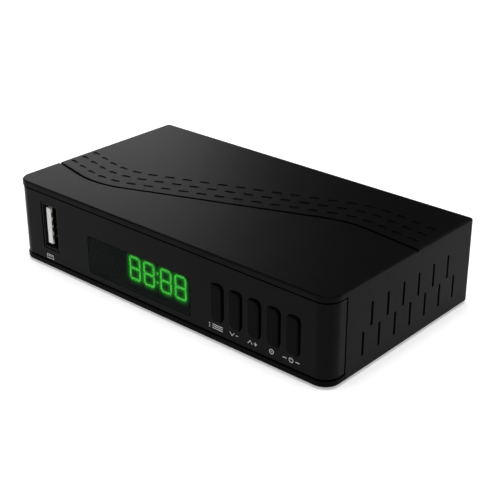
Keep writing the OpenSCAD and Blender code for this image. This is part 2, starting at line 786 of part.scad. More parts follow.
// Lips inside the front panel, the side walls and the rear panel, with a sill behind the rear panel
module base_lips() {
  lip_top = base_top + lip_h;
  side_out = wall_in - drop_fit;
  front_in = front_back + drop_fit;
  panel_in = panel_front - drop_fit;
  lip_half = half_w - 2 * front_corner_r;
  slab([-lip_half, front_in, foot_h + edge], [lip_half, front_in + lip_t, lip_top]);
  for (m = [0, 1]) mirror([m, 0, 0])
    slab([side_out - lip_t, post_front_y + boss_r, foot_h + edge], [side_out, post_back_y - boss_r, lip_top]);
  slab([-board_screw_x, panel_in - guide_t, foot_h + edge], [board_screw_x, panel_in, lip_top]);
  sill_half = wall_in - frame_w - drop_fit;
  slab([-sill_half, panel_back + drop_fit, foot_h + edge], [sill_half, case_d, base_top + sill_h]);
}

// Slotted holders for the lower edge of the front board
module base_holders() {
  y0 = front_board_y - drop_fit - holder_t;
  y1 = front_board_back + drop_fit + holder_t;
  for (x = [front_board_left + holder_w, front_board_right - holder_w]) difference() {
    slab([x - holder_w / 2, y0, foot_h + edge], [x + holder_w / 2, y1, front_board_low + holder_h]);
    slab([x - holder_w, front_board_y - drop_fit, front_board_low],
         [x + holder_w, front_board_back + drop_fit, front_board_low + holder_h + over]);
  }
}

// Upper shell: top plate and side walls with vents, posts and the frame of the rear panel
module top_cover() color(case_black) seat() difference() {
  union() {
    translate([0, 0, top_under]) linear_extrude(plate_t) plan();
    translate([0, 0, foot_h]) linear_extrude(case_h - edge) side_wall_plan();
    cover_frame();
    for (i = [-1, 1], y = [post_front_y, post_back_y]) {
      translate([i * post_x, y, boss_top]) cylinder(r = post_r, h = top_under - boss_top + plate_t / 2);
      translate([i * (post_x + wall_in) / 2, y, (boss_top + top_under) / 2])
        cube([post_in + wall_t, rib_t, top_under - boss_top], center = true);
    }
  }
  translate([0, 0, case_top]) rim_waste(case_w, case_d, front_corner_r, rear_corner_r, edge);
  translate([0, 0, foot_h]) mirror([0, 0, 1]) rim_waste(case_w, case_d, front_corner_r, rear_corner_r, edge);
  for (i = [-1, 1], y = [post_front_y, post_back_y]) translate([i * post_x, y, boss_top - over])
    cylinder(r = case_screw_r + screw_fit, h = case_screw_len + over);
  for (m = [0, 1]) mirror([m, 0, 0]) along_x(wall_in - drop_fit, half_w + over) vent_plan();
  translate([0, 0, case_top - groove_depth]) linear_extrude(groove_depth + over) groove_plan();
  translate([0, 0, case_top - dash_depth]) linear_extrude(dash_depth + over) dash_plan();
}

// Side walls in plan, behind the ends of the front panel
module side_wall_plan() difference() {
  plan();
  translate([-wall_in, -over]) square([2 * wall_in, case_d + 2 * over]);
  translate([-half_w - over, -over]) square([case_w + 2 * over, wall_front + over]);
}

// Jambs, lintel and guide ribs that hold the rear panel in the upper shell
module cover_frame() {
  panel_in = panel_front - drop_fit;
  for (m = [0, 1]) mirror([m, 0, 0]) {
    slab([wall_in - frame_w, panel_back + drop_fit, frame_low], [wall_in + least_r, case_d - edge, top_under]);
    slab([wall_in - frame_w, panel_in - guide_t, boss_top], [wall_in + least_r, panel_in, top_under]);
  }
  slab([-wall_in, panel_back + drop_fit, top_under - frame_w], [wall_in, case_d - edge, top_under + least_r]);
}

// Two staggered rows of upright slots, drawn in y and z
module vent_plan() {
  row = (vent_h + vent_web) / 2;
  for (i = [0:vent_count - 1]) translate([vent_first_y + i * vent_pitch, rows_mid - row]) vent_slot();
  for (i = [0:vent_count - 2]) translate([vent_first_y + (i + 0.5) * vent_pitch, rows_mid + row]) vent_slot();
}
module vent_slot() round_rect(vent_w, vent_h, vent_w / 2 - least_r);

// Groove across the top, in plan: one band of even width, carried past both sides of the case
module groove_plan() {
  near_side = groove_side(-groove_w / 2);
  polygon(concat(groove_side(groove_w / 2), [for (i = [len(near_side) - 1:-1:0]) near_side[i]]));
}

// Rows of dashes that follow the groove
module dash_plan() {
  last = case_w - 2 * dash_margin;
  for (row = [0:dash_rows - 1], d = [0:dash_pitch:last]) {
    x = d + dash_margin - half_w;
    translate([x, groove_y(x) + dash_first + row * dash_row_pitch]) rotate(groove_a(x))
      round_rect(dash_len, dash_w, dash_w / 2 - least_r);
  }
}

// Front panel: wraps round both corners, with a set-back tongue above and below
module front_panel() color(panel_black) seat() difference() {
  union() {
    translate([0, 0, base_top + seam]) linear_extrude(front_h - 2 * seam) front_plan(front_setback);
    translate([0, 0, base_top]) linear_extrude(front_h - drop_fit) front_plan(seam_depth);
  }
  along_y(-over, front_back + over) {
    translate([usb_x, usb_mid]) round_rect(usb_in_w + usb_cut, usb_in_h + usb_cut, usb_cut_r);
    translate([window_x, display_mid]) round_rect(window_w, window_h, window_r);
    for (x = key_xs) translate([x, key_mid])
      round_rect(key_w + 2 * key_gap, key_h + 2 * key_gap, key_r + key_gap);
  }
  along_y(front_back - ledge_t, front_back + over) translate([window_x, display_mid])
    round_rect(window_w + 2 * ledge_w, window_h + 2 * ledge_w, window_r);
}
module front_plan(inset) difference() {
  plan(inset);
  plan(front_back);
  translate([-half_w, front_return]) square([case_w, case_d]);
}

// Rear panel with a hole for each connector
module rear_panel() color(case_black) seat() difference() {
  slab([drop_fit - wall_in, panel_front, base_top], [wall_in - drop_fit, panel_back, top_under - drop_fit]);
  panel_hole(antenna_in_x, port_mid, antenna_in_r + collar_w);
  panel_hole(antenna_out_x, port_mid, antenna_out_r + collar_w);
  for (x = av_xs) panel_hole(x, port_mid, av_r + collar_w);
  panel_hole(dc_x, dc_mid, dc_bore / 2);
  along_y(panel_front - over, panel_back + over) translate([hdmi_x, hdmi_mid])
    hdmi_outline(hdmi_shell_t + panel_gap);
}
module panel_hole(x, z, r) bar(x, z, r + panel_gap, panel_front - over, panel_back + over);

// Smoked window with a flange that sits in the ledge of the front panel
module display_window() color(smoke) seat() translate([window_x, 0, display_mid]) {
  along_y(front_setback, front_back - ledge_t)
    round_rect(window_w - 2 * drop_fit, window_h - 2 * drop_fit, window_r);
  along_y(front_back - ledge_t, front_back)
    round_rect(window_w + 2 * (ledge_w - drop_fit), window_h + 2 * (ledge_w - drop_fit), window_r);
}

// Key: cap with a rounded front edge, retaining flange and stem
module key(i) color(key_black) seat() translate([key_xs[i], 0, key_mid]) {
  flange_y = front_back + key_play;
  difference() {
    along_y(front_setback - key_proud, flange_y + key_flange_t / 2) round_rect(key_w, key_h, key_r);
    translate([0, front_setback - key_proud, -key_h / 2]) rotate([90, 0, 0])
      rim_waste(key_w, key_h, key_r, key_r, key_edge);
  }
  along_y(flange_y, flange_y + key_flange_t)
    square([key_w + 2 * key_flange_side, key_h + 2 * key_flange_end], center = true);
  bar(0, 0, stem_r, flange_y, plunger_tip);
}
module menu_key() key(0);
module channel_down_key() key(1);
module channel_up_key() key(2);
module select_key() key(3);
module power_key() key(4);

// Plunger of a switch, which moves with its key
module plunger(i) color(white_plastic) seat() bar(key_xs[i], key_mid, plunger_r, plunger_tip, plunger_foot);
module menu_plunger() plunger(0);
module channel_down_plunger() plunger(1);
module channel_up_plunger() plunger(2);
module select_plunger() plunger(3);
module power_plunger() plunger(4);

// Bodies of the five switches, each with a well for its plunger
module switch_bodies() color(steel) seat() for (x = key_xs) difference() {
  along_y(switch_front, front_board_y) translate([x, key_mid]) square(switch_w, center = true);
  bar(x, key_mid, plunger_r + plunger_gap, switch_front - over, plunger_foot + key_travel + plunger_spare);
}

// Upright board behind the front panel
module front_board() color(board_green) seat()
  slab([front_board_left, front_board_y, front_board_low],
       [front_board_right, front_board_back, front_board_low + front_board_h]);

// Display block with a pocket for each segment
module display_block() color(dark_plastic) seat() difference() {
  along_y(display_front, front_board_y) translate([display_x, display_mid])
    square([display_w, display_h], center = true);
  along_y(display_front - over, display_front + segment_t) digits(segment_fit);
}

// Lit segments of four digits and the two dots of the colon
module display_segments() color(lit_green) seat() along_y(display_front, display_front + segment_t) digits(0);
module digits(grow) translate([display_x, display_mid]) {
  for (i = [-1.5:1.5]) translate([i * digit_pitch + sign(i) * colon_space / 2, 0]) digit(grow);
  for (j = [-1, 1]) translate([0, j * colon_pitch / 2]) circle(colon_r + grow);
}
module digit(grow) {
  across = digit_w - segment_w - segment_gap;
  up = (digit_h - segment_w) / 2;
  for (j = [-1:1]) translate([0, j * up]) segment(across, grow);
  for (i = [-1, 1], j = [-1, 1]) translate([i * (digit_w - segment_w) / 2, j * up / 2])
    rotate(90) segment(up - segment_gap, grow);
}
module segment(len, grow) {
  a = len / 2 + grow;
  b = segment_w / 2 + grow;
  polygon([[-a, 0], [b - a, b], [a - b, b], [a, 0], [a - b, -b], [b - a, -b]]);
}

// Infrared receiver: block with a domed lens
module infrared_receiver() color(dark_plastic) seat() {
  block_front = front_board_y - ir_t;
  along_y(block_front, front_board_y) translate([ir_x, display_mid]) square([ir_w, ir_h], center = true);
  translate([ir_x, block_front, display_mid]) sphere(ir_dome_r);
}

// Pin header that links the two boards
module link_header() color(dark_plastic) seat() {
  len = link_count * link_pitch;
  pin_z = board_top + link_block / 2;
  slab([link_off - len / 2, main_front, board_top],
       [link_off + len / 2, main_front + link_block, board_top + link_block]);
  for (i = [0:link_count - 1]) {
    x = link_off + (i - (link_count - 1) / 2) * link_pitch;
    translate([x - link_pin / 2, front_board_back, pin_z - link_pin / 2])
      cube([link_pin, board_space + link_block / 2, link_pin]);
  }
}

// Main board with a tongue under the front socket
module main_board() color(board_green) seat() difference() {
  union() {
    slab([-board_half, main_front, board_under], [board_half, main_back, board_top]);
    slab([-board_half, front_back + tongue_gap, board_under],
         [usb_x + usb_out_w / 2 + tongue_edge, main_front + over, board_top]);
  }
  for (i = [-1, 1], y = board_screw_ys()) translate([i * board_screw_x, y, board_under - over])
    cylinder(r = board_screw_r + screw_fit, h = board_t + 2 * over);
}

// Shell of the front socket with its flared mouth
module usb_shell() color(tin) seat() translate([usb_x, 0, usb_mid]) {
  along_y(usb_front + usb_flare_len, usb_front + usb_len) difference() {
    round_rect(usb_out_w, usb_out_h, usb_in_r + usb_shell_t);
    round_rect(usb_in_w, usb_in_h, usb_in_r);
  }
  difference() {
    usb_funnel(usb_shell_t, 0);
    usb_funnel(0, least_r);
  }
}
module usb_funnel(grow, past) hull() {
  wide = 2 * (usb_flare + grow);
  back = usb_front + usb_flare_len;
  along_y(usb_front - past, usb_front + least_r) square([usb_in_w + wide, usb_in_h + wide], center = true);
  along_y(back, back + least_r + past) square([usb_in_w + 2 * grow, usb_in_h + 2 * grow], center = true);
}

// Insulator of the front socket: tongue and closing block
module usb_tongue() color(white_plastic) seat() translate([0, 0, usb_mid]) {
  back = usb_front + usb_len;
  slab([usb_tongue_x, usb_front + usb_tip, -usb_tongue_h / 2],
       [usb_tongue_x + usb_tongue_t, back, usb_tongue_h / 2]);
  along_y(back - usb_block, back) translate([usb_x, 0])
    round_rect(usb_in_w - 2 * least_r, usb_in_h - 2 * least_r, usb_in_r);
}

// Four contacts on the free face of the tongue
module usb_contacts() color(contact_gold) seat() {
  x = usb_tongue_x + usb_tongue_t;
  for (z = [-usb_contact_outer, -usb_contact_inner, usb_contact_inner, usb_contact_outer] / 2)
    slab([x, usb_front + 2 * usb_tip, usb_mid + z - usb_contact_w / 2],
         [x + usb_contact_t, usb_front + usb_len - usb_block, usb_mid + z + usb_contact_w / 2]);
}

// Folded frame of the tuner can, open above
module tuner_frame() color(tin) seat() difference() {
  tuner_box(0, board_top, board_top + tuner_h);
  tuner_box(-tuner_sheet, board_top + tuner_sheet, board_top + tuner_h + over);
  tuner_hole(antenna_in_x, antenna_contact_od / 2);
  tuner_hole(antenna_out_x, antenna_pin_d / 2);
}
module tuner_hole(x, r) bar(x, port_mid, r + antenna_fit, block_back - tuner_sheet - over, block_back + over);
module tuner_box(grow, z0, z1) slab(
  [tuner_x - tuner_w / 2 - grow, tuner_front - grow, z0],
  [tuner_x + tuner_w / 2 + grow, block_back + grow, z1]);

// Lid of the tuner can, with a skirt inside the frame
module tuner_lid() color(steel) seat() {
  z1 = board_top + tuner_h;
  inside = -tuner_sheet - lid_fit;
  tuner_box(0, z1, z1 + tuner_sheet);
  difference() {
    tuner_box(inside, z1 - lid_skirt, z1);
    tuner_box(inside - tuner_sheet, z1 - lid_skirt - over, z1 + over);
  }
}

// Antenna input: barrel, insulator and split contact
module antenna_in_barrel() color(tin) seat()
  barrel(antenna_in_x, antenna_in_r, antenna_in_bore / 2, antenna_back);
module antenna_in_insulator() color(white_plastic) seat()
  tube(antenna_in_x, port_mid, antenna_in_bore / 2 - antenna_fit, antenna_contact_od / 2 + antenna_fit,
       block_back, block_back + antenna_insulator);
module antenna_in_contact() color(contact_gold) seat()
  tube(antenna_in_x, port_mid, antenna_contact_od / 2, antenna_contact_bore / 2,
       block_back - tuner_sheet, antenna_back - antenna_contact_tip);

// Antenna output: barrel, insulator and pin
module antenna_out_barrel() color(tin) seat()
  barrel(antenna_out_x, antenna_out_r, antenna_out_r - antenna_wall, antenna_back);
module antenna_out_insulator() color(white_plastic) seat()
  tube(antenna_out_x, port_mid, antenna_out_r - antenna_wall - antenna_fit, antenna_pin_d / 2 + antenna_fit,
       block_back, block_back + antenna_insulator);
module antenna_out_pin() color(contact_gold) seat()
  bar(antenna_out_x, port_mid, antenna_pin_d / 2, block_back - tuner_sheet, antenna_back);

// Digital video socket: shell with slanted lower corners
module hdmi_shell() color(tin) seat() along_y(hdmi_back - hdmi_len, hdmi_back) translate([hdmi_x, hdmi_mid])
  difference() {
    hdmi_outline(hdmi_shell_t);
    hdmi_outline(0);
  }
module hdmi_outline(grow) {
  a = hdmi_in_w / 2 + grow;
  b = hdmi_in_h / 2 + grow;
  knee = b - hdmi_in_h / 2;
  polygon([[-a, b], [a, b], [a, knee], [a - hdmi_slant, -b], [hdmi_slant - a, -b], [-a, knee]]);
}
module hdmi_tongue() color(dark_plastic) seat() {
  mouth_front = hdmi_back - hdmi_len;
  slab([hdmi_x - hdmi_tongue_w / 2, mouth_front, hdmi_mid - hdmi_tongue_t / 2],
       [hdmi_x + hdmi_tongue_w / 2, hdmi_back - hdmi_tip, hdmi_mid + hdmi_tongue_t / 2]);
  along_y(mouth_front, mouth_front + hdmi_block) translate([hdmi_x, hdmi_mid]) hdmi_outline(-least_r);
}

// Block that carries the three video and sound sockets
module av_block() color(dark_plastic) seat() {
  slab([av_x - av_w / 2, block_back - av_block_d, board_top],
       [av_x + av_w / 2, block_back, board_top + av_block_h]);
}

// Barrel and coloured insulator of a video or sound socket
module av_barrel(i) color(tin) seat() barrel(av_xs[i], av_r, av_r - av_wall, av_back);
module video_barrel() av_barrel(0);
module left_sound_barrel() av_barrel(1);
module right_sound_barrel() av_barrel(2);
module av_insulator(i) seat() difference() {
  bar(av_xs[i], port_mid, av_r - av_wall - av_fit, block_back, av_insulator_back);
  bar(av_xs[i], port_mid, av_hole_d / 2, av_insulator_back - av_hole_depth, av_insulator_back + over);
}
module video_insulator() color([0.95, 0.8, 0.1]) av_insulator(0);
module left_sound_insulator() color([0.92, 0.92, 0.9]) av_insulator(1);
module right_sound_insulator() color([0.8, 0.1, 0.08]) av_insulator(2);

// Spring sleeves at the bottom of the three holes
module av_contacts() color(contact_gold) seat() for (x = av_xs)
  tube(x, port_mid, av_hole_d / 2 - av_fit, av_hole_d / 2 - av_fit - av_contact_t,
       av_insulator_back - av_hole_depth, av_insulator_back - av_hole_depth + av_contact_len);

// Power inlet: block with a round well, and its pin
module power_inlet() color(dark_plastic) seat() difference() {
  slab([dc_x - dc_w / 2, block_back - dc_d, board_top], [dc_x + dc_w / 2, block_back, board_top + dc_h]);
  bar(dc_x, dc_mid, dc_bore / 2, dc_bore_end, block_back + over);
  bar(dc_x, dc_mid, dc_root_d / 2 + dc_pin_fit, dc_bore_end - dc_pin_root, block_back);
}
module power_inlet_pin() color(tin) seat() {
  bar(dc_x, dc_mid, dc_root_d / 2, dc_bore_end - dc_pin_root, dc_bore_end);
  bar(dc_x, dc_mid, dc_pin_d / 2, dc_bore_end - dc_pin_root, block_back - dc_tip);
}

// Main chip and the finned heat sink on it
module main_chip() color(chip_grey) seat() board_block(-chip_off, chip_at, chip_w, chip_w, chip_t);
module board_block(x, y, w, d, h) translate([x - w / 2, y - d / 2, board_top]) cube([w, d, h]);
module heat_sink() color([0.2, 0.2, 0.22]) seat() translate([-chip_off, chip_at, board_top + chip_t]) {
  translate([-sink_w / 2, -sink_w / 2, 0]) cube([sink_w, sink_w, sink_base]);
  step = (sink_w - sink_fin_t) / (sink_fins - 1);
  for (i = [0:sink_fins - 1]) translate([i * step - sink_w / 2, -sink_w / 2, 0])
    cube([sink_fin_t, sink_w, sink_base + sink_fin_h]);
}

// Memory chips before the tuner can
module memory_chips() color(chip_grey) seat() for (i = [0, 1])
  board_block(memory_off, memory_back - memory_l / 2 - i * memory_pitch, memory_w, memory_l, memory_t);

// Moulded power coils near the power inlet
module power_coils() color(chip_grey) seat() for (i = [0, 1])
  translate([dc_x + coil_shift, power_row - i * coil_pitch, board_top]) linear_extrude(coil_h)
  round_rect(coil_w, coil_w, coil_r);

// Smoothing capacitors: cans with a rolled neck
module capacitors() color([0.1, 0.12, 0.25]) seat() for (i = [0:cap_count - 1])
  translate([i * cap_pitch - crystal_off, power_row, board_top]) rotate_extrude() polygon([
    [0, 0], [cap_d / 2, 0], [cap_d / 2, cap_neck_z - cap_neck], [cap_d / 2 - cap_neck, cap_neck_z],
    [cap_d / 2, cap_neck_z + cap_neck], [cap_d / 2, cap_h - cap_neck],
    [cap_d / 2 - cap_neck, cap_h], [0, cap_h]
  ]);

// Crystal in its flat can
module crystal_can() color(tin) seat() translate([-crystal_off, chip_at, board_top]) linear_extrude(crystal_h)
  round_rect(crystal_w, crystal_l, crystal_w / 2 - least_r);

// Four screws that close the case from below
module case_screws() color(steel) seat() for (i = [-1, 1], y = [post_front_y, post_back_y])
  translate([i * post_x, y, case_head_low])
  screw(case_head_r, case_head_h, case_screw_r, case_screw_len - boss_h);

// Four screws that hold the main board
module board_screws() color(steel) seat() for (i = [-1, 1], y = board_screw_ys())
  translate([i * board_screw_x, y, board_top + board_head_h]) mirror([0, 0, 1])
  screw(board_head_r, board_head_h, board_screw_r, board_screw_len);

// Screw that stands on its head, with a cross recess below
module screw(head_r, head_h, shank_r, len) difference() {
  union() {
    cylinder(r = head_r, h = head_h);
    cylinder(r = shank_r, h = head_h + len);
  }
  for (a = [0, 90]) rotate(a)
    cube([2 * head_r * cross_share, cross_w, 2 * cross_depth], center = true);
}

// Four rubber feet
module feet() color(rubber_black) seat() for (i = [-1, 1], y = [foot_end, case_d - foot_end])
  translate([i * (half_w - foot_side), y, 0]) rotate_extrude() polygon([
    [0, 0], [foot_r - foot_chamfer, 0], [foot_r, foot_chamfer],
    [foot_r, foot_h + foot_in], [0, foot_h + foot_in]
  ]);

base_tray();
top_cover();
front_panel();
rear_panel();
display_window();
menu_key();
channel_down_key();
channel_up_key();
select_key();
power_key();
menu_plunger();
channel_down_plunger();
channel_up_plunger();
select_plunger();
power_plunger();
switch_bodies();
front_board();
display_block();
display_segments();
infrared_receiver();
link_header();
main_board();
usb_shell();
usb_tongue();
usb_contacts();
tuner_frame();
tuner_lid();
antenna_in_barrel();
antenna_in_insulator();
antenna_in_contact();
antenna_out_barrel();
antenna_out_insulator();
antenna_out_pin();
hdmi_shell();
hdmi_tongue();
av_block();
video_barrel();
left_sound_barrel();
right_sound_barrel();
video_insulator();
left_sound_insulator();
right_sound_insulator();
av_contacts();
power_inlet();
power_inlet_pin();
main_chip();
heat_sink();
memory_chips();
power_coils();
capacitors();
crystal_can();
case_screws();
board_screws();
feet();
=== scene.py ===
import logging
import math
from dataclasses import dataclass
from enum import Enum
from functools import cache
from typing import Optional, Sequence

import bmesh
import bpy
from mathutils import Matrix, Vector
from mathutils.bvhtree import BVHTree


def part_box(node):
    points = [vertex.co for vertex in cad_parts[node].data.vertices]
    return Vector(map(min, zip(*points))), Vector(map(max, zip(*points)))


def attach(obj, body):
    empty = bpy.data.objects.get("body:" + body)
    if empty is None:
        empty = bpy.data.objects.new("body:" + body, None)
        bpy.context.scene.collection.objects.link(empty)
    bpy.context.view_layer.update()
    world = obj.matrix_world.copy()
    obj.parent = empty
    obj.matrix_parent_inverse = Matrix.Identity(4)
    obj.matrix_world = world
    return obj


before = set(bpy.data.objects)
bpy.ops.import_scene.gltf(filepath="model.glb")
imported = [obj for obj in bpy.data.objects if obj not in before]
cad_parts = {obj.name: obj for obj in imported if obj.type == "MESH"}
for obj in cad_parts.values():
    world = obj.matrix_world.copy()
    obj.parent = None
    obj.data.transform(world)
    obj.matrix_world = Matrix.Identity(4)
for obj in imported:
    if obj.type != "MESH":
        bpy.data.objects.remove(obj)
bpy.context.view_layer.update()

LOG = logging.getLogger("receiver")
MM = 0.001
BODY = "case"
WHITE = (1.0, 1.0, 1.0, 1.0)
BLACK = (0.0, 0.0, 0.0, 1.0)
# Sockets that share a name within their node are reached by number.
MIX_SHARE, MIX_FIRST, MIX_SECOND, MIX_RESULT = 0, 6, 7, 2
COMPARE_FIRST, COMPARE_SECOND = 2, 3
# Sides of a printed stroke's ring.
STROKE_SIDES = 8
# Turn of a further row in degrees, and the number of sides that has to be passed for it.
ROW_TURNS = ((180, 1), (90, 2), (270, 3))

Colour = tuple[float, float, float]
Place = tuple[float, float, float]
Stroke = list[tuple[float, float]]
Sockets = bpy.types.bpy_prop_collection


class Socket(Enum):
    """Kinds of socket on a node tree."""

    NUMBER = "NodeSocketFloat"
    COUNT = "NodeSocketInt"
    VECTOR = "NodeSocketVector"
    COLOUR = "NodeSocketColor"
    SHAPE = "NodeSocketGeometry"
    FINISH = "NodeSocketMaterial"


class Wiring:
    """Adds sockets and nodes to a node tree and links them."""

    def __init__(self, tree: bpy.types.NodeTree) -> None:
        """Keeps the tree that the nodes go into."""
        self.tree = tree

    def sockets(self, way: str, kinds: dict[str, Socket]) -> None:
        """Gives the tree named sockets, with INPUT or OUTPUT as their way."""
        for name, kind in kinds.items():
            self.tree.interface.new_socket(name, in_out=way, socket_type=kind.value)

    def add(self, kind: str, values: Optional[dict] = None, **settings: object) -> bpy.types.Node:
        """Adds one node.

        Args:
            kind: Blender's name of the node type.
            values: Plain values by input socket name or number.
            settings: Properties of the node itself.

        Returns:
            The new node.
        """
        node = self.tree.nodes.new(kind)
        for name, value in settings.items():
            setattr(node, name, value)
        self.fill(node, values or {})
        return node

    @staticmethod
    def fill(node: bpy.types.Node, values: dict) -> None:
        """Sets plain values on a node's inputs, by socket name or number."""
        for name, value in values.items():
            node.inputs[name].default_value = value

    def link(self, source: bpy.types.NodeSocket, target: bpy.types.NodeSocket) -> None:
        """Links an output socket to an input socket."""
        self.tree.links.new(source, target)


def blank_material(name: str) -> tuple[bpy.types.Material, Wiring, bpy.types.Node]:
    """Makes a material with its Principled shader.

    Args:
        name: Name of the material.

    Returns:
        The material, its wiring and its shader.
    """
    made = bpy.data.materials.new(name)
    made.use_nodes = True
    return made, Wiring(made.node_tree), made.node_tree.nodes["Principled BSDF"]


def stand(name: str, data: bpy.types.ID) -> bpy.types.Object:
    """Puts a mesh, lamp or camera into the scene.

    Args:
        name: Name of the new object.
        data: The mesh, lamp or camera.

    Returns:
        The object, at the origin.
    """
    made = bpy.data.objects.new(name, data)
    bpy.context.scene.collection.objects.link(made)
    return made


def keep_shape(name: str, shape: bmesh.types.BMesh) -> bpy.types.Mesh:
    """Turns an edit mesh into a plain mesh and frees it.

    Args:
        name: Name of the mesh.
        shape: The edit mesh.

    Returns:
        The plain mesh.
    """
    mesh = bpy.data.meshes.new(name)
    shape.to_mesh(mesh)
    shape.free()
    return mesh


class Effect(Enum):
    """Shader node groups that several finishes share."""

    GRAIN = "mould_grain"
    TONE = "tone_drift"
    BRUSH = "brushed_lines"
    TRACES = "board_traces"


class Effects:
    """Builds each shared shader node group once."""

    surface_in: dict[str, Socket] = {
        "Vector": Socket.VECTOR, "Scale": Socket.NUMBER,
        "Low": Socket.NUMBER, "High": Socket.NUMBER}
    surface_out: dict[str, Socket] = {"Height": Socket.NUMBER, "Roughness": Socket.NUMBER}
    tone_in: dict[str, Socket] = {
        "Vector": Socket.VECTOR, "Scale": Socket.NUMBER,
        "Base": Socket.COLOUR, "Worn": Socket.COLOUR}
    tone_out: dict[str, Socket] = {"Color": Socket.COLOUR}
    brush_stretch: Place = (0.06, 1.0, 1.0)

    def group(self, effect: Effect) -> bpy.types.NodeTree:
        """Finds or builds a node group.

        Args:
            effect: The group that is wanted.

        Returns:
            The shader node group.
        """
        known = bpy.data.node_groups.get(effect.value)
        if known:
            return known
        makers = {
            Effect.GRAIN: self._grain,
            Effect.TONE: self._tone,
            Effect.BRUSH: self._brush,
            Effect.TRACES: self._traces,
        }
        return makers[effect](effect.value)

    @staticmethod
    def _open(name: str, inputs: dict[str, Socket],
              outputs: dict[str, Socket]) -> tuple[Wiring, Sockets, Sockets]:
        """Starts a group with its named sockets.

        Args:
            name: Name of the group.
            inputs: Names of the inputs with their kinds.
            outputs: Names of the outputs with their kinds.

        Returns:
            The wiring, and the group's inner sockets by name, inputs first.
        """
        wires = Wiring(bpy.data.node_groups.new(name, "ShaderNodeTree"))
        wires.sockets("INPUT", inputs)
        wires.sockets("OUTPUT", outputs)
        return wires, wires.add("NodeGroupInput").outputs, wires.add("NodeGroupOutput").inputs

    @staticmethod
    def _noise(wires: Wiring, place: bpy.types.NodeSocket, scale: bpy.types.NodeSocket,
               detail: float, rough: float) -> bpy.types.NodeSocket:
        """Adds a noise texture.

        Args:
            wires: Wiring of the group.
            place: Socket with the place on the surface.
            scale: Socket with the repeats to the metre.
            detail: Number of finer layers.
            rough: Weight of the finer layers.

        Returns:
            Socket with the noise.
        """
        noise = wires.add("ShaderNodeTexNoise", {"Detail": detail, "Roughness": rough})
        wires.link(place, noise.inputs["Vector"])
        wires.link(scale, noise.inputs["Scale"])
        return noise.outputs["Fac"]

    @staticmethod
    def _surface(wires: Wiring, given: Sockets, out: Sockets, height: bpy.types.NodeSocket,
                 span: tuple[float, float] = (0.3, 0.7)) -> bpy.types.NodeTree:
        """Puts out a height, and a roughness that follows it.

        Args:
            wires: Wiring of the group.
            given: The group's inputs.
            out: The group's outputs.
            height: Socket with the height.
            span: Heights that take the low and the high roughness.

        Returns:
            The node group.
        """
        spread = wires.add("ShaderNodeMapRange", {"From Min": span[0], "From Max": span[1]})
        wires.link(height, spread.inputs["Value"])
        wires.link(given["Low"], spread.inputs["To Min"])
        wires.link(given["High"], spread.inputs["To Max"])
        wires.link(height, out["Height"])
        wires.link(spread.outputs["Result"], out["Roughness"])
        return wires.tree

    def _grain(self, name: str) -> bpy.types.NodeTree:
        """Fine spark-eroded grain of a mould, as a height and a roughness.

        Args:
            name: Name of the group.

        Returns:
            The node group.
        """
        wires, given, out = self._open(name, self.surface_in, self.surface_out)
        noise = self._noise(wires, given["Vector"], given["Scale"], detail=4.0, rough=0.65)
        return self._surface(wires, given, out, noise)

    def _tone(self, name: str) -> bpy.types.NodeTree:
        """Slow drift between two colours over a surface.

        Args:
            name: Name of the group.

        Returns:
            The node group.
        """
        wires, given, out = self._open(name, self.tone_in, self.tone_out)
        noise = self._noise(wires, given["Vector"], given["Scale"], detail=3.0, rough=0.55)
        spread = wires.add("ShaderNodeMapRange", {"From Min": 0.38, "From Max": 0.68})
        blend = wires.add("ShaderNodeMix", data_type="RGBA")
        wires.link(noise, spread.inputs["Value"])
        wires.link(spread.outputs["Result"], blend.inputs[MIX_SHARE])
        wires.link(given["Base"], blend.inputs[MIX_FIRST])
        wires.link(given["Worn"], blend.inputs[MIX_SECOND])
        wires.link(blend.outputs[MIX_RESULT], out["Color"])
        return wires.tree

    def _brush(self, name: str) -> bpy.types.NodeTree:
        """Rolling lines of sheet metal, drawn out along one direction.

        Args:
            name: Name of the group.

        Returns:
            The node group.
        """
        wires, given, out = self._open(name, self.surface_in, self.surface_out)
        stretch = wires.add("ShaderNodeVectorMath", {1: self.brush_stretch}, operation="MULTIPLY")
        wires.link(given["Vector"], stretch.inputs[0])
        noise = self._noise(wires, stretch.outputs["Vector"], given["Scale"], detail=2.0, rough=0.5)
        return self._surface(wires, given, out, noise)

    def _traces(self, name: str) -> bpy.types.NodeTree:
        """Copper tracks that show under a board's lacquer.

        Args:
            name: Name of the group.

        Returns:
            The node group.
        """
        wires, given, out = self._open(name, self.surface_in, self.surface_out)
        cells = wires.add("ShaderNodeTexVoronoi", feature="DISTANCE_TO_EDGE")
        track = wires.add("ShaderNodeMapRange", {
            "From Min": 0.05, "From Max": 0.09, "To Min": 1.0, "To Max": 0.0})
        wires.link(given["Vector"], cells.inputs["Vector"])
        wires.link(given["Scale"], cells.inputs["Scale"])
        wires.link(cells.outputs["Distance"], track.inputs["Value"])
        return self._surface(wires, given, out, track.outputs["Result"], span=(0.0, 1.0))


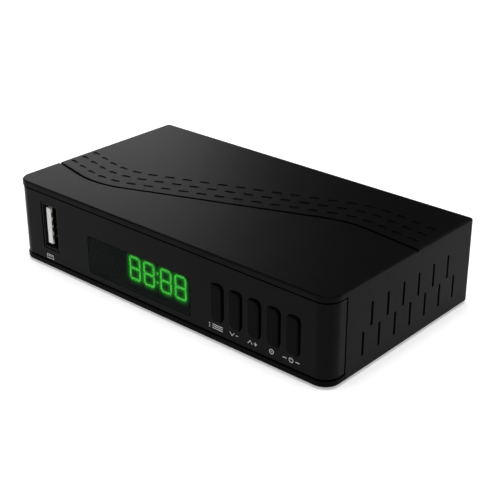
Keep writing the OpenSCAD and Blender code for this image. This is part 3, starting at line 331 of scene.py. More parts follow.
@dataclass(frozen=True)
class Finish:
    """One finish: colours are linear, scales are repeats to the metre and depths are metres."""

    slot: str
    base: Colour
    worn: Colour
    rough: tuple[float, float]
    pattern: Effect = Effect.GRAIN
    scale: float = 3200.0
    depth: float = 0.000012
    drift: float = 60.0
    metallic: float = 0.0
    specular: float = 0.5
    alpha: float = 1.0
    glow: float = 0.0
    variant: str = "plain"

    def material(self) -> bpy.types.Material:
        """Finds or builds the material of this finish.

        Returns:
            The material, named after its slot and variant.
        """
        name = self.slot + "_" + self.variant
        known = bpy.data.materials.get(name)
        if known:
            return known
        made, wires, shader = blank_material(name)
        wires.fill(shader, {
            "Metallic": self.metallic, "Specular IOR Level": self.specular, "Alpha": self.alpha})
        self._dress(wires, shader)
        made.diffuse_color = (*self.base, 1.0)
        return made

    def _dress(self, wires: Wiring, shader: bpy.types.Node) -> None:
        """Wires the shared effects to the shader.

        Args:
            wires: Wiring of the material's tree.
            shader: The Principled shader.
        """
        effects = Effects()
        low, high = self.rough
        place = wires.add("ShaderNodeTexCoord").outputs["Object"]
        tone = wires.add("ShaderNodeGroup", node_tree=effects.group(Effect.TONE))
        wires.fill(tone, {
            "Scale": self.drift, "Base": (*self.base, 1.0), "Worn": (*self.worn, 1.0)})
        grain = wires.add("ShaderNodeGroup", node_tree=effects.group(self.pattern))
        wires.fill(grain, {"Scale": self.scale, "Low": low, "High": high})
        bump = wires.add("ShaderNodeBump", {"Strength": 1.0, "Distance": self.depth})
        wires.link(place, tone.inputs["Vector"])
        wires.link(place, grain.inputs["Vector"])
        wires.link(grain.outputs["Height"], bump.inputs["Height"])
        wires.link(tone.outputs["Color"], shader.inputs["Base Color"])
        wires.link(grain.outputs["Roughness"], shader.inputs["Roughness"])
        wires.link(bump.outputs["Normal"], shader.inputs["Normal"])
        if self.glow:
            wires.link(tone.outputs["Color"], shader.inputs["Emission Color"])
            wires.fill(shader, {"Emission Strength": self.glow})


CASE_PLASTIC = Finish(
    "case_plastic", (0.002, 0.002, 0.0021), (0.0027, 0.0027, 0.0029), (0.36, 0.41),
    specular=0.042)
# Painted shade: a darker, duller copy of the case plastic for the base tray, dark for the shade
# along the floor.
SHADED_BASE_PLASTIC = Finish(
    "case_plastic", (0.0018, 0.0018, 0.0019), (0.0024, 0.0024, 0.0025), (0.4, 0.48),
    specular=0.025, variant="low")
FRONT_GLOSS = Finish(
    "front_gloss", (0.0022, 0.0024, 0.0024), (0.0028, 0.003, 0.003), (0.1, 0.14),
    scale=420.0, depth=0.000006, specular=0.045)
KEY_PLASTIC = Finish(
    "key_plastic", (0.0016, 0.0016, 0.0017), (0.002, 0.002, 0.0022), (0.2, 0.26),
    specular=0.025)
WINDOW_SMOKE = Finish(
    "window_smoke", (0.0012, 0.0034, 0.0026), (0.0014, 0.0038, 0.003), (0.1, 0.14),
    scale=420.0, depth=0.000006, specular=0.028, alpha=0.86)
BLACK_PLASTIC = Finish(
    "black_plastic", (0.006, 0.006, 0.006), (0.009, 0.009, 0.009), (0.45, 0.55),
    specular=0.15)
DEEP_BLACK = Finish(
    "black_plastic", (0.0008, 0.0008, 0.0008), (0.0012, 0.0012, 0.0012), (0.55, 0.65),
    specular=0.03, variant="deep")
WHITE_PLASTIC = Finish("white_plastic", (0.78, 0.78, 0.75), (0.72, 0.72, 0.68), (0.35, 0.45))
YELLOW_PLASTIC = Finish("yellow_plastic", (0.85, 0.58, 0.02), (0.8, 0.52, 0.02), (0.3, 0.4))
RED_PLASTIC = Finish("red_plastic", (0.6, 0.02, 0.015), (0.54, 0.018, 0.013), (0.3, 0.4))
LIT_GREEN = Finish(
    "lit_green", (0.19, 0.9, 0.15), (0.22, 0.95, 0.18), (0.3, 0.4),
    drift=900.0, glow=12.0)
BOARD_GREEN = Finish(
    "board_green", (0.01, 0.09, 0.03), (0.015, 0.12, 0.04), (0.45, 0.3),
    Effect.TRACES, scale=260.0, depth=0.00003)
TINNED_STEEL = Finish(
    "tinned_steel", (0.8, 0.79, 0.76), (0.72, 0.71, 0.69), (0.34, 0.4),
    scale=1400.0, depth=0.0000015, drift=300.0, metallic=1.0)
# Painted shade: near-black metal for the memory-stick socket's shell, standing in for the shade
# inside its slot.
SHADED_SHELL_METAL = Finish(
    "tinned_steel", (0.007, 0.007, 0.0075), (0.005, 0.005, 0.0055), (0.3, 0.42),
    Effect.BRUSH, scale=2600.0, depth=0.000001, metallic=1.0, variant="dark")
STEEL = Finish(
    "steel", (0.42, 0.42, 0.43), (0.36, 0.36, 0.37), (0.28, 0.42),
    Effect.BRUSH, scale=2600.0, depth=0.0000015, metallic=1.0)
GILT = Finish(
    "gilt", (0.78, 0.56, 0.22), (0.7, 0.48, 0.18), (0.2, 0.3),
    Effect.BRUSH, scale=6000.0, depth=0.000003, metallic=1.0)
ANODISED = Finish(
    "anodised", (0.02, 0.02, 0.022), (0.03, 0.03, 0.033), (0.35, 0.5),
    Effect.BRUSH, scale=4200.0, depth=0.000008, metallic=0.6)
SLEEVE_BLUE = Finish("sleeve_blue", (0.01, 0.014, 0.06), (0.012, 0.018, 0.075), (0.3, 0.4))
FOOT_RUBBER = Finish(
    "foot_rubber", (0.012, 0.012, 0.012), (0.018, 0.018, 0.018), (0.75, 0.9),
    scale=2400.0, depth=0.00004, specular=0.2)
INK = Finish(
    "white_print", (0.62, 0.62, 0.62), (0.55, 0.55, 0.55), (0.5, 0.6),
    scale=5200.0, depth=0.000002)


@dataclass(frozen=True)
class GlowFilm:
    """Painted glow: scattered light round the lit segments, painted on a film that keeps its
    brightness in its points.
    """

    colour: Colour = (0.03, 1.0, 0.05)
    strength: float = 92.0
    cover: float = 0.1
    rough: float = 0.8
    attribute: str = "glow"

    def material(self) -> bpy.types.Material:
        """Builds the film's material.

        Returns:
            The material, dark where no segment is near.
        """
        made, wires, shader = blank_material("lit_green_glow")
        wires.fill(shader, {
            "Base Color": BLACK, "Specular IOR Level": 0.0, "Roughness": self.rough,
            "Alpha": self.cover, "Emission Strength": self.strength})
        near = wires.add("ShaderNodeAttribute", attribute_name=self.attribute)
        tint = wires.add("ShaderNodeMix", {
            MIX_FIRST: BLACK, MIX_SECOND: (*self.colour, 1.0)}, data_type="RGBA")
        wires.link(near.outputs["Fac"], tint.inputs[MIX_SHARE])
        wires.link(tint.outputs[MIX_RESULT], shader.inputs["Emission Color"])
        return made


class GeometryTree(Wiring):
    """A Geometry Nodes tree with named inputs, run once and kept as a plain mesh."""

    def __init__(self, name: str, inputs: dict[str, Socket]) -> None:
        """Makes the tree and its sockets.

        Args:
            name: Name of the tree.
            inputs: Names of the inputs with their kinds.
        """
        super().__init__(bpy.data.node_groups.new(name, "GeometryNodeTree"))
        self.sockets("INPUT", {"Geometry": Socket.SHAPE, **inputs, "Finish": Socket.FINISH})
        self.sockets("OUTPUT", {"Geometry": Socket.SHAPE})
        self.given = self.add("NodeGroupInput").outputs

    def close(self, geometry: bpy.types.NodeSocket) -> None:
        """Ends the tree in plain geometry that carries its finish.

        Args:
            geometry: The socket with the finished shape.
        """
        real = self.add("GeometryNodeRealizeInstances")
        paint = self.add("GeometryNodeSetMaterial")
        self.link(geometry, real.inputs["Geometry"])
        self.link(real.outputs["Geometry"], paint.inputs["Geometry"])
        self.link(self.given["Finish"], paint.inputs["Material"])
        self.link(paint.outputs["Geometry"], self.add("NodeGroupOutput").inputs["Geometry"])

    def bake(self, name: str, seed_mesh: bpy.types.Mesh, values: dict,
             finish: Finish) -> bpy.types.Object:
        """Runs the tree on a mesh.

        Args:
            name: Name of the new piece.
            seed_mesh: Mesh that goes into the tree.
            values: Values of the tree's named inputs.
            finish: Finish of the new piece.

        Returns:
            The piece, with a plain mesh and no modifier.
        """
        piece = stand(name, seed_mesh)
        modifier = piece.modifiers.new("tree", "NODES")
        modifier.node_group = self.tree
        values = {**values, "Finish": finish.material()}
        for item in self.tree.interface.items_tree:
            if item.in_out == "INPUT" and item.name in values:
                modifier[item.identifier] = values[item.name]
        graph = bpy.context.evaluated_depsgraph_get()
        plain = bpy.data.meshes.new_from_object(piece.evaluated_get(graph))
        piece.modifiers.remove(modifier)
        piece.data = plain
        plain.name = name
        return piece


@cache
def stroke_tree() -> GeometryTree:
    """Makes the tree that turns centre lines into flat printed strokes.

    Returns:
        The tree, with the inputs Width, Flatten and Place.
    """
    tree = GeometryTree("printed_strokes", {
        "Width": Socket.NUMBER, "Flatten": Socket.VECTOR, "Place": Socket.VECTOR})
    curve = tree.add("GeometryNodeMeshToCurve")
    ring = tree.add("GeometryNodeCurvePrimitiveCircle", {"Resolution": STROKE_SIDES})
    half = tree.add("ShaderNodeMath", {1: 0.5}, operation="MULTIPLY")
    sweep = tree.add("GeometryNodeCurveToMesh", {"Fill Caps": True})
    move = tree.add("GeometryNodeTransform")
    tree.link(tree.given["Geometry"], curve.inputs["Mesh"])
    tree.link(tree.given["Width"], half.inputs[0])
    tree.link(half.outputs[0], ring.inputs["Radius"])
    tree.link(curve.outputs["Curve"], sweep.inputs["Curve"])
    tree.link(ring.outputs["Curve"], sweep.inputs["Profile Curve"])
    tree.link(sweep.outputs["Mesh"], move.inputs["Geometry"])
    tree.link(tree.given["Flatten"], move.inputs["Scale"])
    tree.link(tree.given["Place"], move.inputs["Translation"])
    tree.close(move.outputs["Geometry"])
    return tree


@cache
def row_tree() -> GeometryTree:
    """Makes the tree that repeats a small part in a row on one, two or four sides of a body.

    Returns:
        The tree, with the inputs Count, Start, Step, Sides and Place.
    """
    tree = GeometryTree("part_rows", {
        "Count": Socket.COUNT, "Start": Socket.VECTOR, "Step": Socket.VECTOR,
        "Sides": Socket.COUNT, "Place": Socket.VECTOR})
    line = tree.add("GeometryNodeMeshLine", mode="OFFSET")
    repeat = tree.add("GeometryNodeInstanceOnPoints")
    join = tree.add("GeometryNodeJoinGeometry")
    move = tree.add("GeometryNodeTransform")
    tree.link(tree.given["Count"], line.inputs["Count"])
    tree.link(tree.given["Start"], line.inputs["Start Location"])
    tree.link(tree.given["Step"], line.inputs["Offset"])
    tree.link(line.outputs["Mesh"], repeat.inputs["Points"])
    tree.link(tree.given["Geometry"], repeat.inputs["Instance"])
    tree.link(repeat.outputs["Instances"], join.inputs["Geometry"])
    for turn, passed in ROW_TURNS:
        turned = tree.add("GeometryNodeTransform", {"Rotation": (0.0, 0.0, math.radians(turn))})
        wanted = tree.add("FunctionNodeCompare", {COMPARE_SECOND: passed},
                          data_type="INT", operation="GREATER_THAN")
        choose = tree.add("GeometryNodeSwitch", input_type="GEOMETRY")
        tree.link(repeat.outputs["Instances"], turned.inputs["Geometry"])
        tree.link(tree.given["Sides"], wanted.inputs[COMPARE_FIRST])
        tree.link(wanted.outputs["Result"], choose.inputs["Switch"])
        tree.link(turned.outputs["Geometry"], choose.inputs["True"])
        tree.link(choose.outputs["Output"], join.inputs["Geometry"])
    tree.link(join.outputs["Geometry"], move.inputs["Geometry"])
    tree.link(tree.given["Place"], move.inputs["Translation"])
    tree.close(move.outputs["Geometry"])
    return tree


def middle(node: str) -> Vector:
    """Gives the middle of a node's box."""
    low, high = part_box(node)
    return (low + high) / 2


def settle(piece: bpy.types.Object) -> None:
    """Fixes a new piece to the case and logs it.

    Args:
        piece: The new piece.
    """
    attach(piece, BODY)
    LOG.info("piece %s: %d faces on %s", piece.name, len(piece.data.polygons), BODY)


def dress(finish: Finish, *nodes: str) -> None:
    """Gives solids their finish.

    Args:
        finish: The finish.
        nodes: Names of the solids.
    """
    for name in nodes:
        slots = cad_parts[name].data.materials
        slots.clear()
        slots.append(finish.material())
        LOG.info("solid %s: %s", name, finish.slot)


def strip_mesh(name: str, path: Sequence[tuple[float, float]], width: float,
               thick: float) -> bpy.types.Mesh:
    """Makes a bent strip of metal, drawn in depth and height and carried across its width.

    Args:
        name: Name of the mesh.
        path: Lower edge of the strip as pairs of depth and height.
        width: Width across.
        thick: Thickness upwards.

    Returns:
        A closed mesh.
    """
    half = width / 2
    corners = ((-half, 0.0), (half, 0.0), (half, thick), (-half, thick))
    points = [(x, y, z + up) for y, z in path for x, up in corners]
    sides = len(corners)
    last = sides * (len(path) - 1)
    faces = [tuple(range(sides)), tuple(last + i for i in reversed(range(sides)))]
    for ring in range(0, last, sides):
        for i in range(sides):
            j = (i + 1) % sides
            faces.append((ring + j, ring + i, ring + sides + i, ring + sides + j))
    mesh = bpy.data.meshes.new(name)
    mesh.from_pydata(points, [], faces)
    mesh.update()
    return mesh


def arc(radius: float, start: float, end: float, steps: int = 20) -> Stroke:
    """Draws an arc about the middle in straight steps, between angles in degrees."""
    angles = (math.radians(start + (end - start) * i / steps) for i in range(steps + 1))
    return [(radius * math.cos(a), radius * math.sin(a)) for a in angles]


class Mark(Enum):
    """Plain signs printed beside the keys and sockets."""

    LIST = "list"
    DOWN = "down"
    UP = "up"
    CHOOSE = "choose"
    POWER = "power"
    SOCKET = "socket"
    AERIAL_IN = "aerial_in"
    AERIAL_OUT = "aerial_out"
    SCREEN = "screen"
    DIRECT = "direct"

    def strokes(self) -> list[Stroke]:
        """Draws the sign's centre lines.

        Returns:
            Lines of points across and up, in millimetres from the sign's middle.
        """
        if self is Mark.LIST:
            return [line for z in (-0.55, 0.0, 0.55)
                    for line in ([(-2.4, z), (-2.0, z)], [(-1.2, z), (2.4, z)])]
        if self is Mark.DOWN:
            return [[(-1.4, 0.5), (-0.65, -0.5), (0.1, 0.5)], [(0.6, 0.0), (1.4, 0.0)]]
        if self is Mark.UP:
            return [[(-1.55, -0.5), (-0.8, 0.5), (-0.05, -0.5)],
                    [(0.45, 0.0), (1.55, 0.0)], [(1.0, -0.55), (1.0, 0.55)]]
        if self is Mark.CHOOSE:
            return [arc(0.62, 0, 360), [(-0.15, 0.0), (0.15, 0.0)]]
        if self is Mark.POWER:
            return [arc(0.62, 125, 415), [(0.0, 0.1), (0.0, 0.8)],
                    [(-2.7, 0.0), (-1.4, 0.0)], [(1.4, 0.0), (2.7, 0.0)]]
        if self is Mark.SCREEN:
            return [[(-1.1, -0.4), (1.1, -0.4), (1.1, 0.8), (-1.1, 0.8), (-1.1, -0.4)],
                    [(-0.5, -0.75), (0.5, -0.75)]]
        if self is Mark.DIRECT:
            dashes = [[(x - 0.27, -0.28), (x + 0.27, -0.28)] for x in (-0.83, 0.0, 0.83)]
            return [[(-1.1, 0.28), (1.1, 0.28)], *dashes]
        if self in (Mark.AERIAL_IN, Mark.AERIAL_OUT):
            tip, tail = (0.9, 1.9) if self is Mark.AERIAL_IN else (1.9, 0.9)
            barb = 0.35
            back = tip + math.copysign(barb, tail - tip)
            return [[(0.0, -0.8), (0.0, 0.8)], [(-0.6, 0.8), (0.0, 0.0), (0.6, 0.8)],
                    [(tail, 0.0), (tip, 0.0)], [(back, barb), (tip, 0.0), (back, -barb)]]
        return [[(-1.4, -0.6), (1.4, -0.6), (1.4, 0.6), (-1.4, 0.6), (-1.4, -0.6)],
                [(-0.9, 0.15), (0.9, 0.15)]]


@dataclass(frozen=True)
class SignPrint:
    """Print of one colour, laid on a flat face as thin strokes."""

    stroke_w: float = 0.24 * MM
    flatten: float = 0.12

    def lay(self, name: str, places: Sequence[tuple[Mark, float, float]], face: float,
            way: int = 1) -> bpy.types.Object:
        """Prints signs on an upright face.

        Args:
            name: Name of the new piece.
            places: Signs with their places across and up.
            face: Depth of the face.
            way: 1 on a face that is read from the front, -1 from the rear.

        Returns:
            The piece with all the signs.
        """
        points: list[Place] = []
        edges: list[tuple[int, int]] = []
        for mark, x, z in places:
            for stroke in mark.strokes():
                first = len(points)
                points += [(x + way * a * MM, 0.0, z + b * MM) for a, b in stroke]
                edges += [(i, i + 1) for i in range(first, len(points) - 1)]
        mesh = bpy.data.meshes.new(name + "_lines")
        mesh.from_pydata(points, edges, [])
        return stroke_tree().bake(name, mesh, {
            "Width": self.stroke_w, "Flatten": (1.0, self.flatten, 1.0),
            "Place": (0.0, face, 0.0)}, INK)


@dataclass
class CaseShell:
    """Plates, walls, rear panel with its signs, screws and feet."""

    sign_drop: float = 2.75 * MM

    def build(self) -> None:
        """Dresses the shells and what holds them, and prints the rear panel's signs."""
        dress(CASE_PLASTIC, "top_cover", "rear_panel")
        # The base tray takes the darker copy of the case plastic: painted shade near the floor.
        dress(SHADED_BASE_PLASTIC, "base_tray")
        dress(STEEL, "case_screws")
        dress(FOOT_RUBBER, "feet")
        marked = (
            (Mark.AERIAL_IN, "antenna_in_barrel"), (Mark.AERIAL_OUT, "antenna_out_barrel"),
            (Mark.SCREEN, "hdmi_shell"), (Mark.DIRECT, "power_inlet_pin"))
        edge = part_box("rear_panel")[1]
        places = [(mark, middle(node).x, edge.z - self.sign_drop) for mark, node in marked]
        settle(SignPrint().lay("rear_signs", places, edge.y, -1))


@dataclass
class FrontFace:
    """Gloss panel, smoked window and the signs printed on the panel."""

    key_sign_z: float = 4.85 * MM
    key_sign_shift: float = -0.5 * MM
    socket_sign_z: float = 3.9 * MM
    socket_sign_shift: float = -1.0 * MM

    def build(self) -> None:
        """Dresses the panel and prints its signs."""
        dress(FRONT_GLOSS, "front_panel")
        dress(WINDOW_SMOKE, "display_window")
        signs = SignPrint().lay("front_signs", self._places(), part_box("front_panel")[0].y)
        settle(signs)

    def _places(self) -> list[tuple[Mark, float, float]]:
        """Gives each sign with its place across and up.

        Returns:
            The signs, each under its key or socket.
        """
        keys = (
            (Mark.LIST, "menu_key"), (Mark.DOWN, "channel_down_key"),
            (Mark.UP, "channel_up_key"), (Mark.CHOOSE, "select_key"), (Mark.POWER, "power_key"))
        places = [(mark, middle(node).x + self.key_sign_shift, self.key_sign_z)
                  for mark, node in keys]
        socket_x = middle("usb_shell").x + self.socket_sign_shift
        return places + [(Mark.SOCKET, socket_x, self.socket_sign_z)]


@dataclass
class KeyBank:
    """Five keys, their plungers and the switches behind them."""

    names: tuple[str, ...] = ("menu", "channel_down", "channel_up", "select", "power")

    def build(self) -> None:
        """Dresses the keys and switches."""
        dress(KEY_PLASTIC, *(name + "_key" for name in self.names))
        dress(WHITE_PLASTIC, *(name + "_plunger" for name in self.names))
        dress(STEEL, "switch_bodies")


@dataclass
class Display:
    """Lit digits with their painted glow, the block behind them, infrared receiver and upright
    board.
    """

    glow_reach: float = 1.6 * MM
    glow_soft: float = 0.6 * MM
    glow_step: float = 0.2 * MM
    glow_gap: float = 0.08 * MM
    glow_t: float = 0.02 * MM

    def build(self) -> None:
        """Dresses the display and its board and adds the painted glow of the digits."""
        dress(DEEP_BLACK, "display_block")
        dress(BLACK_PLASTIC, "infrared_receiver")
        dress(LIT_GREEN, "display_segments")
        dress(BOARD_GREEN, "front_board")
        settle(self._glow(GlowFilm()))

    def _glow(self, film: GlowFilm) -> bpy.types.Object:
        """Lays a thin film of painted glow before the digits, brighter where a lit segment is near.

        Args:
            film: Finish of the film.

        Returns:
            The piece.
        """
        low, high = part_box("display_segments")
        wide = high.x - low.x + 2 * self.glow_reach
        tall = high.z - low.z + 2 * self.glow_reach
        columns, rows = math.ceil(wide / self.glow_step), math.ceil(tall / self.glow_step)
        corner = Vector((low.x - self.glow_reach, low.y, low.z - self.glow_reach))
        spots = [[corner + Vector((wide * i / columns, 0.0, tall * j / rows))
                  for i in range(columns + 1)] for j in range(rows + 1)]
        shine = self._shine(spots)
        forward = Vector((0.0, -self.glow_gap, 0.0))
        shape = bmesh.new()
        points = [[shape.verts.new(spot + forward) for spot in line] for line in spots]
        for lower, upper in zip(points, points[1:]):
            for i in range(columns):
                shape.faces.new((lower[i], lower[i + 1], upper[i + 1], upper[i]))
        bmesh.ops.solidify(shape, geom=shape.faces[:], thickness=self.glow_t)
        mesh = keep_shape("digit_glow", shape)
        values = []
        for vertex in mesh.vertices:
            i = round((vertex.co.x - corner.x) / wide * columns)
            j = round((vertex.co.z - corner.z) / tall * rows)
            values.append(shine[j][i])
        mesh.attributes.new(film.attribute, "FLOAT", "POINT").data.foreach_set("value", values)
        mesh.materials.append(film.material())
        return stand("digit_glow", mesh)

    def _shine(self, spots: list[list[Vector]]) -> list[list[float]]:
        """Adds up the light that reaches each spot from the lit segments round it.

        Args:
            spots: Rows of places on the plane of the segments' fronts.

        Returns:
            The light at each place, as a share of the most.
        """
        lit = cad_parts["display_segments"].data
        tree = BVHTree.FromPolygons(
            [v.co for v in lit.vertices], [tuple(p.vertices) for p in lit.polygons])
        shares = [[max(0.0, 1.0 - tree.find_nearest(spot)[3] / self.glow_step) for spot in line]
                  for line in spots]
        shine = self._soften(self._soften(shares))
        most = max(max(line) for line in shine)
        return [[value / most for value in line] for line in shine]

    def _soften(self, grid: list[list[float]]) -> list[list[float]]:
        """Softens a grid along its rows and swaps rows and columns.

        Args:
            grid: Rows of values.

        Returns:
            Columns of softened values.
        """
        reach = math.ceil(self.glow_reach / self.glow_step)
        weights = [math.exp(-0.5 * (k * self.glow_step / self.glow_soft) ** 2)
                   for k in range(-reach, reach + 1)]
        edge = [0.0] * reach
        soft = []
        for line in grid:
            padded = edge + line + edge
            soft.append([sum(w * v for w, v in zip(weights, padded[i:]))
                         for i in range(len(line))])
        return [list(column) for column in zip(*soft)]


@dataclass
class FrontSocket:
    """Upright socket for a memory stick."""

    contact_pitches: tuple[float, ...] = (-3.5 * MM, -1.0 * MM, 1.0 * MM, 3.5 * MM)
    tooth_w: float = 1.3 * MM
    tooth_start: float = 0.2 * MM
    # Painted shade on the tongue's contact side: where it starts and ends, and its thickness.
    shade_start: float = 0.6 * MM
    shade_end: float = 0.35 * MM
    shade_t: float = 0.05 * MM

    def build(self) -> None:
        """Dresses the socket, its shell painted near-black for the shade in the slot, and lays
        painted shade on the tongue's contact side.
        """
        # Painted shade: the shell is near-black to stand in for the shade inside the slot.
        dress(SHADED_SHELL_METAL, "usb_shell")
        dress(WHITE_PLASTIC, "usb_tongue")
        dress(GILT, "usb_contacts")
        settle(self._lay_tongue_shade())

    def _lay_tongue_shade(self) -> bpy.types.Object:
        """Lays a thin black sheet of painted shade on the tongue's side, with a tooth to the tip
        under each contact.

        Returns:
            The piece.
        """
        contacts_low, contacts_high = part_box("usb_contacts")
        low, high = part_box("usb_tongue")
        back, front, tip = contacts_high.y, low.y + self.shade_start, low.y + self.tooth_start
        mid = (low.z + high.z) / 2
        bottom, top = low.z + self.shade_end, high.z - self.shade_end
        edge = [(back, bottom), (front, bottom)]
        for z in self.contact_pitches:
            under, over = mid + z - self.tooth_w / 2, mid + z + self.tooth_w / 2
            edge += [(front, under), (tip, under), (tip, over), (front, over)]
        edge += [(front, top), (back, top)]
        shape = bmesh.new()
        outline = shape.faces.new([shape.verts.new((contacts_low.x, y, z)) for y, z in edge])
        raised = bmesh.ops.extrude_face_region(shape, geom=[outline])["geom"]
        for part in raised:
            if isinstance(part, bmesh.types.BMVert):
                part.co.x += self.shade_t
        bmesh.ops.recalc_face_normals(shape, faces=shape.faces[:])
        bmesh.ops.triangulate(shape, faces=[f for f in shape.faces if len(f.verts) > 4])
        mesh = keep_shape("tongue_side_shade", shape)
        # Painted shade, in the black of the display block.
        mesh.materials.append(DEEP_BLACK.material())
        return stand("tongue_side_shade", mesh)


@dataclass
class MainBoard:
    """Main board with its chips, coils, capacitors and fasteners."""

    chip_leads: int = 24
    chip_sides: int = 4
    lead_w: float = 0.26 * MM
    lead_t: float = 0.12 * MM
    lead_reach: float = 1.1 * MM
    # Shares of the reach at which a lead bends down and lies flat.
    lead_bends: tuple[float, float] = (0.35, 0.55)
    # Share of a side that its leads take up.
    lead_spread: float = 0.92

    def build(self) -> None:
        """Dresses the board and adds the leads of its main chip."""
        dress(BOARD_GREEN, "main_board")
        dress(BLACK_PLASTIC, "link_header", "main_chip", "memory_chips", "power_coils")
        dress(ANODISED, "heat_sink")
        dress(SLEEVE_BLUE, "capacitors")
        dress(TINNED_STEEL, "crystal_can")
        dress(STEEL, "board_screws")
        settle(self._leads())

    def _leads(self) -> bpy.types.Object:
        """Sets a row of bent leads on each side of the main chip.

        Returns:
            The piece with the leads.
        """
        low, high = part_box("main_chip")
        spot = middle("main_chip")
        rise = (high.z - low.z) / 2
        bend, flat = (self.lead_reach * share for share in self.lead_bends)
        path = [(0.0, rise), (bend, rise), (flat, 0.0), (self.lead_reach, 0.0)]
        lead = strip_mesh("lead", path, self.lead_w, self.lead_t)
        half = (high.x - low.x) / 2
        pitch = 2 * half * self.lead_spread / self.chip_leads
        start = -pitch * (self.chip_leads - 1) / 2
        return row_tree().bake("chip_leads", lead, {
            "Count": self.chip_leads, "Start": (start, half, 0.0), "Step": (pitch, 0.0, 0.0),
            "Sides": self.chip_sides, "Place": (spot.x, spot.y, low.z)}, TINNED_STEEL)


@dataclass
class Tuner:
    """Tuner can with the aerial input and output."""

    def build(self) -> None:
        """Dresses the can and its connectors."""
        dress(TINNED_STEEL, "tuner_frame", "antenna_in_barrel", "antenna_out_barrel")
        dress(STEEL, "tuner_lid")
        dress(WHITE_PLASTIC, "antenna_in_insulator", "antenna_out_insulator")
        dress(GILT, "antenna_in_contact", "antenna_out_pin")


@dataclass
class RearSockets:
    """Digital video socket, video and sound sockets and power inlet."""

    contact_count: int = 10
    contact_w: float = 0.4 * MM
    contact_t: float = 0.06 * MM
    contact_pitch: float = 1.0 * MM
    contact_len: float = 5.0 * MM
    contact_inset: float = 0.3 * MM
    tongue_half: float = 0.6 * MM

    def build(self) -> None:
        """Dresses the sockets and adds the digital socket's contacts."""
        dress(TINNED_STEEL, "hdmi_shell", "video_barrel", "left_sound_barrel",
              "right_sound_barrel", "power_inlet_pin")
        dress(BLACK_PLASTIC, "hdmi_tongue", "av_block", "power_inlet")
        dress(YELLOW_PLASTIC, "video_insulator")
        dress(WHITE_PLASTIC, "left_sound_insulator")
        dress(RED_PLASTIC, "right_sound_insulator")
        dress(GILT, "av_contacts")
        settle(self._contacts())

    def _contacts(self) -> bpy.types.Object:
        """Lays the contacts along the upper face of the digital socket's tongue.

        Returns:
            The piece with the contacts.
        """
        spot = middle("hdmi_tongue")
        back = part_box("hdmi_tongue")[1].y - self.contact_len - self.contact_inset
        path = [(0.0, 0.0), (self.contact_len, 0.0)]
        strip = strip_mesh("contact", path, self.contact_w, self.contact_t)
        start = -self.contact_pitch * (self.contact_count - 1) / 2
        return row_tree().bake("digital_contacts", strip, {
            "Count": self.contact_count, "Start": (start, 0.0, 0.0),
            "Step": (self.contact_pitch, 0.0, 0.0), "Sides": 1,
            "Place": (spot.x, back, spot.z + self.tongue_half)}, GILT)


@dataclass(frozen=True)
class SoftBox:
    """One large soft lamp, with its power in watts."""

    name: str
    place: Place
    power: float
    size: tuple[float, float] = (0.7, 0.6)
    aim: Place = (0.0, 0.0, 0.02)

    def hang(self) -> None:
        """Hangs the lamp and turns it to its aim."""
        lamp = bpy.data.lights.new(self.name, "AREA")
        lamp.shape = "RECTANGLE"
        lamp.size, lamp.size_y = self.size
        lamp.energy = self.power
        holder = stand(self.name, lamp)
        holder.location = self.place
        holder.rotation_mode = "QUATERNION"
        towards = Vector(self.aim) - Vector(self.place)
        holder.rotation_quaternion = towards.to_track_quat("-Z", "Y")
        LOG.info("lamp %s", self.name)


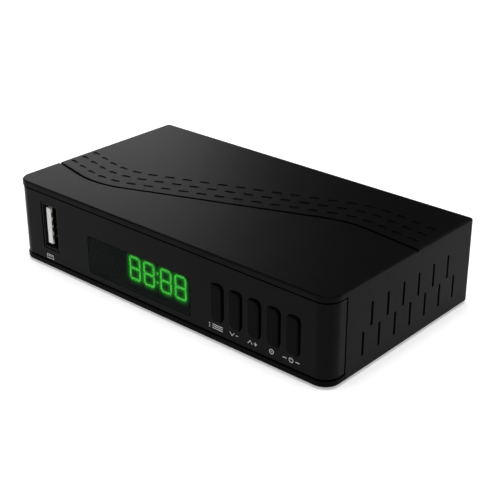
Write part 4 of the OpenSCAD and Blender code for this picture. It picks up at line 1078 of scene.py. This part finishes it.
@dataclass
class Studio:
    """Floor, lamps, surroundings and camera."""

    camera_place: Place = (0.19748, -0.22251, 0.14973)
    azimuth: float = 41.32
    elevation: float = 25.53
    lens: float = 81.92
    sensor: float = 36.0
    clip: tuple[float, float] = (0.01, 20.0)
    floor_flat: float = 5.0
    floor_rim: tuple[float, float] = (7.0, 0.5)
    floor_sides: int = 64
    floor_white: float = 0.9
    # Share of white that the overhead lamp gives the floor in the middle.
    floor_lit: float = 0.66
    room: float = 0.004
    overhead: SoftBox = SoftBox("overhead", (0.0, -0.08, 2.5), 50.0, (1.4, 1.4), (0.0, 0.0, 0.0))
    ring: tuple[SoftBox, ...] = (
        SoftBox("left_back", (-1.125, 0.756, 0.34), 2.75, (0.6, 0.5)),
        SoftBox("right_back", (0.75, 0.8, 0.55), 1.5),
        SoftBox("right_front", (0.75, -0.8, 0.5), 2.0),
        SoftBox("left_front", (-0.75, -0.8, 0.5), 1.5),
        SoftBox("front", (0.0, -1.1, 0.5), 1.3),
        SoftBox("back", (0.0, 1.1, 0.5), 1.3),
        SoftBox("left", (-1.1, 0.0, 0.5), 1.3),
        SoftBox("right", (1.1, 0.0, 0.5), 1.1),
    )

    def build(self) -> None:
        """Sets the stage."""
        bpy.context.scene.view_settings.view_transform = "Standard"
        self._floor()
        self._surroundings()
        for lamp in (self.overhead, *self.ring):
            lamp.hang()
        self._camera()

    def _floor(self) -> None:
        """Lays a plain pale floor whose far rim rises behind the horizon."""
        count = self.floor_sides
        turns = [math.tau * i / count for i in range(count)]
        rim, height = self.floor_rim
        points = [(radius * math.cos(t), radius * math.sin(t), z)
                  for radius, z in ((self.floor_flat, 0.0), (rim, height)) for t in turns]
        walls = [(i, count + i, count + (i + 1) % count, (i + 1) % count) for i in range(count)]
        mesh = bpy.data.meshes.new("floor")
        mesh.from_pydata(points, [], [tuple(range(count)), *walls])
        paint, wires, shader = blank_material("floor_white")
        pale = (self.floor_white, self.floor_white, self.floor_white, 1.0)
        wires.fill(shader, {"Base Color": pale, "Roughness": 1.0, "Specular IOR Level": 0.0})
        self._lift(wires, shader)
        mesh.materials.append(paint)
        stand("floor", mesh)

    def _lift(self, wires: Wiring, shader: bpy.types.Node) -> None:
        """Lifts the floor to white where it is seen, also in gloss and through glass.

        The lift makes up for the overhead lamp, whose light falls off away from the middle.

        Args:
            wires: Wiring of the floor's material.
            shader: The floor's shader.
        """
        path = wires.add("ShaderNodeLightPath")
        gloss = wires.add("ShaderNodeMath", operation="MAXIMUM")
        seen = wires.add("ShaderNodeMath", operation="MAXIMUM")
        amount = wires.add("ShaderNodeMath", operation="MULTIPLY")
        wires.link(self._missing(wires), amount.inputs[1])
        wires.link(path.outputs["Is Glossy Ray"], gloss.inputs[0])
        wires.link(path.outputs["Is Transmission Ray"], gloss.inputs[1])
        wires.link(gloss.outputs[0], seen.inputs[0])
        wires.link(path.outputs["Is Camera Ray"], seen.inputs[1])
        wires.link(seen.outputs[0], amount.inputs[0])
        wires.link(amount.outputs[0], shader.inputs["Emission Strength"])
        wires.fill(shader, {"Emission Color": WHITE})

    def _missing(self, wires: Wiring) -> bpy.types.NodeSocket:
        """Works out what the overhead lamp leaves to white at each distance.

        Its light falls as (1 + (distance / height) ** 2) ** -2.

        Args:
            wires: Wiring of the floor's material.

        Returns:
            Socket with the missing share of white.
        """
        place = wires.add("ShaderNodeTexCoord")
        distance = wires.add("ShaderNodeVectorMath", operation="LENGTH")
        ratio = wires.add("ShaderNodeMath", {1: self.overhead.place[2]}, operation="DIVIDE")
        square = wires.add("ShaderNodeMath", {1: 2.0}, operation="POWER")
        slant = wires.add("ShaderNodeMath", {1: 1.0}, operation="ADD")
        fall = wires.add("ShaderNodeMath", {1: -2.0}, operation="POWER")
        lit = wires.add("ShaderNodeMath", {1: self.floor_lit}, operation="MULTIPLY")
        left = wires.add("ShaderNodeMath", {0: 1.0}, operation="SUBTRACT")
        wires.link(place.outputs["Object"], distance.inputs[0])
        wires.link(distance.outputs["Value"], ratio.inputs[0])
        for source, target in ((ratio, square), (square, slant), (slant, fall), (fall, lit)):
            wires.link(source.outputs[0], target.inputs[0])
        wires.link(lit.outputs[0], left.inputs[1])
        return left.outputs[0]

    def _surroundings(self) -> None:
        """Fills the room with a little even light."""
        world = bpy.data.worlds.new("room")
        world.use_nodes = True
        Wiring.fill(world.node_tree.nodes["Background"], {"Color": WHITE, "Strength": self.room})
        bpy.context.scene.world = world

    def _camera(self) -> None:
        """Sets up the camera at the photograph's viewing angle."""
        lens = bpy.data.cameras.new("camera")
        lens.lens = self.lens
        lens.sensor_width = self.sensor
        lens.clip_start, lens.clip_end = self.clip
        camera = stand("camera", lens)
        camera.location = self.camera_place
        tilt, turn = math.radians(90.0 - self.elevation), math.radians(self.azimuth)
        camera.rotation_euler = (tilt, 0.0, turn)
        bpy.context.scene.camera = camera


def main() -> None:
    """Builds every sub-assembly in order and then the studio."""
    logging.basicConfig(level=logging.INFO, format="%(name)s: %(message)s")
    assemblies = (
        CaseShell(), FrontFace(), KeyBank(), Display(), FrontSocket(), MainBoard(), Tuner(),
        RearSockets(), Studio())
    for assembly in assemblies:
        assembly.build()


if __name__ == "__main__":
    main()
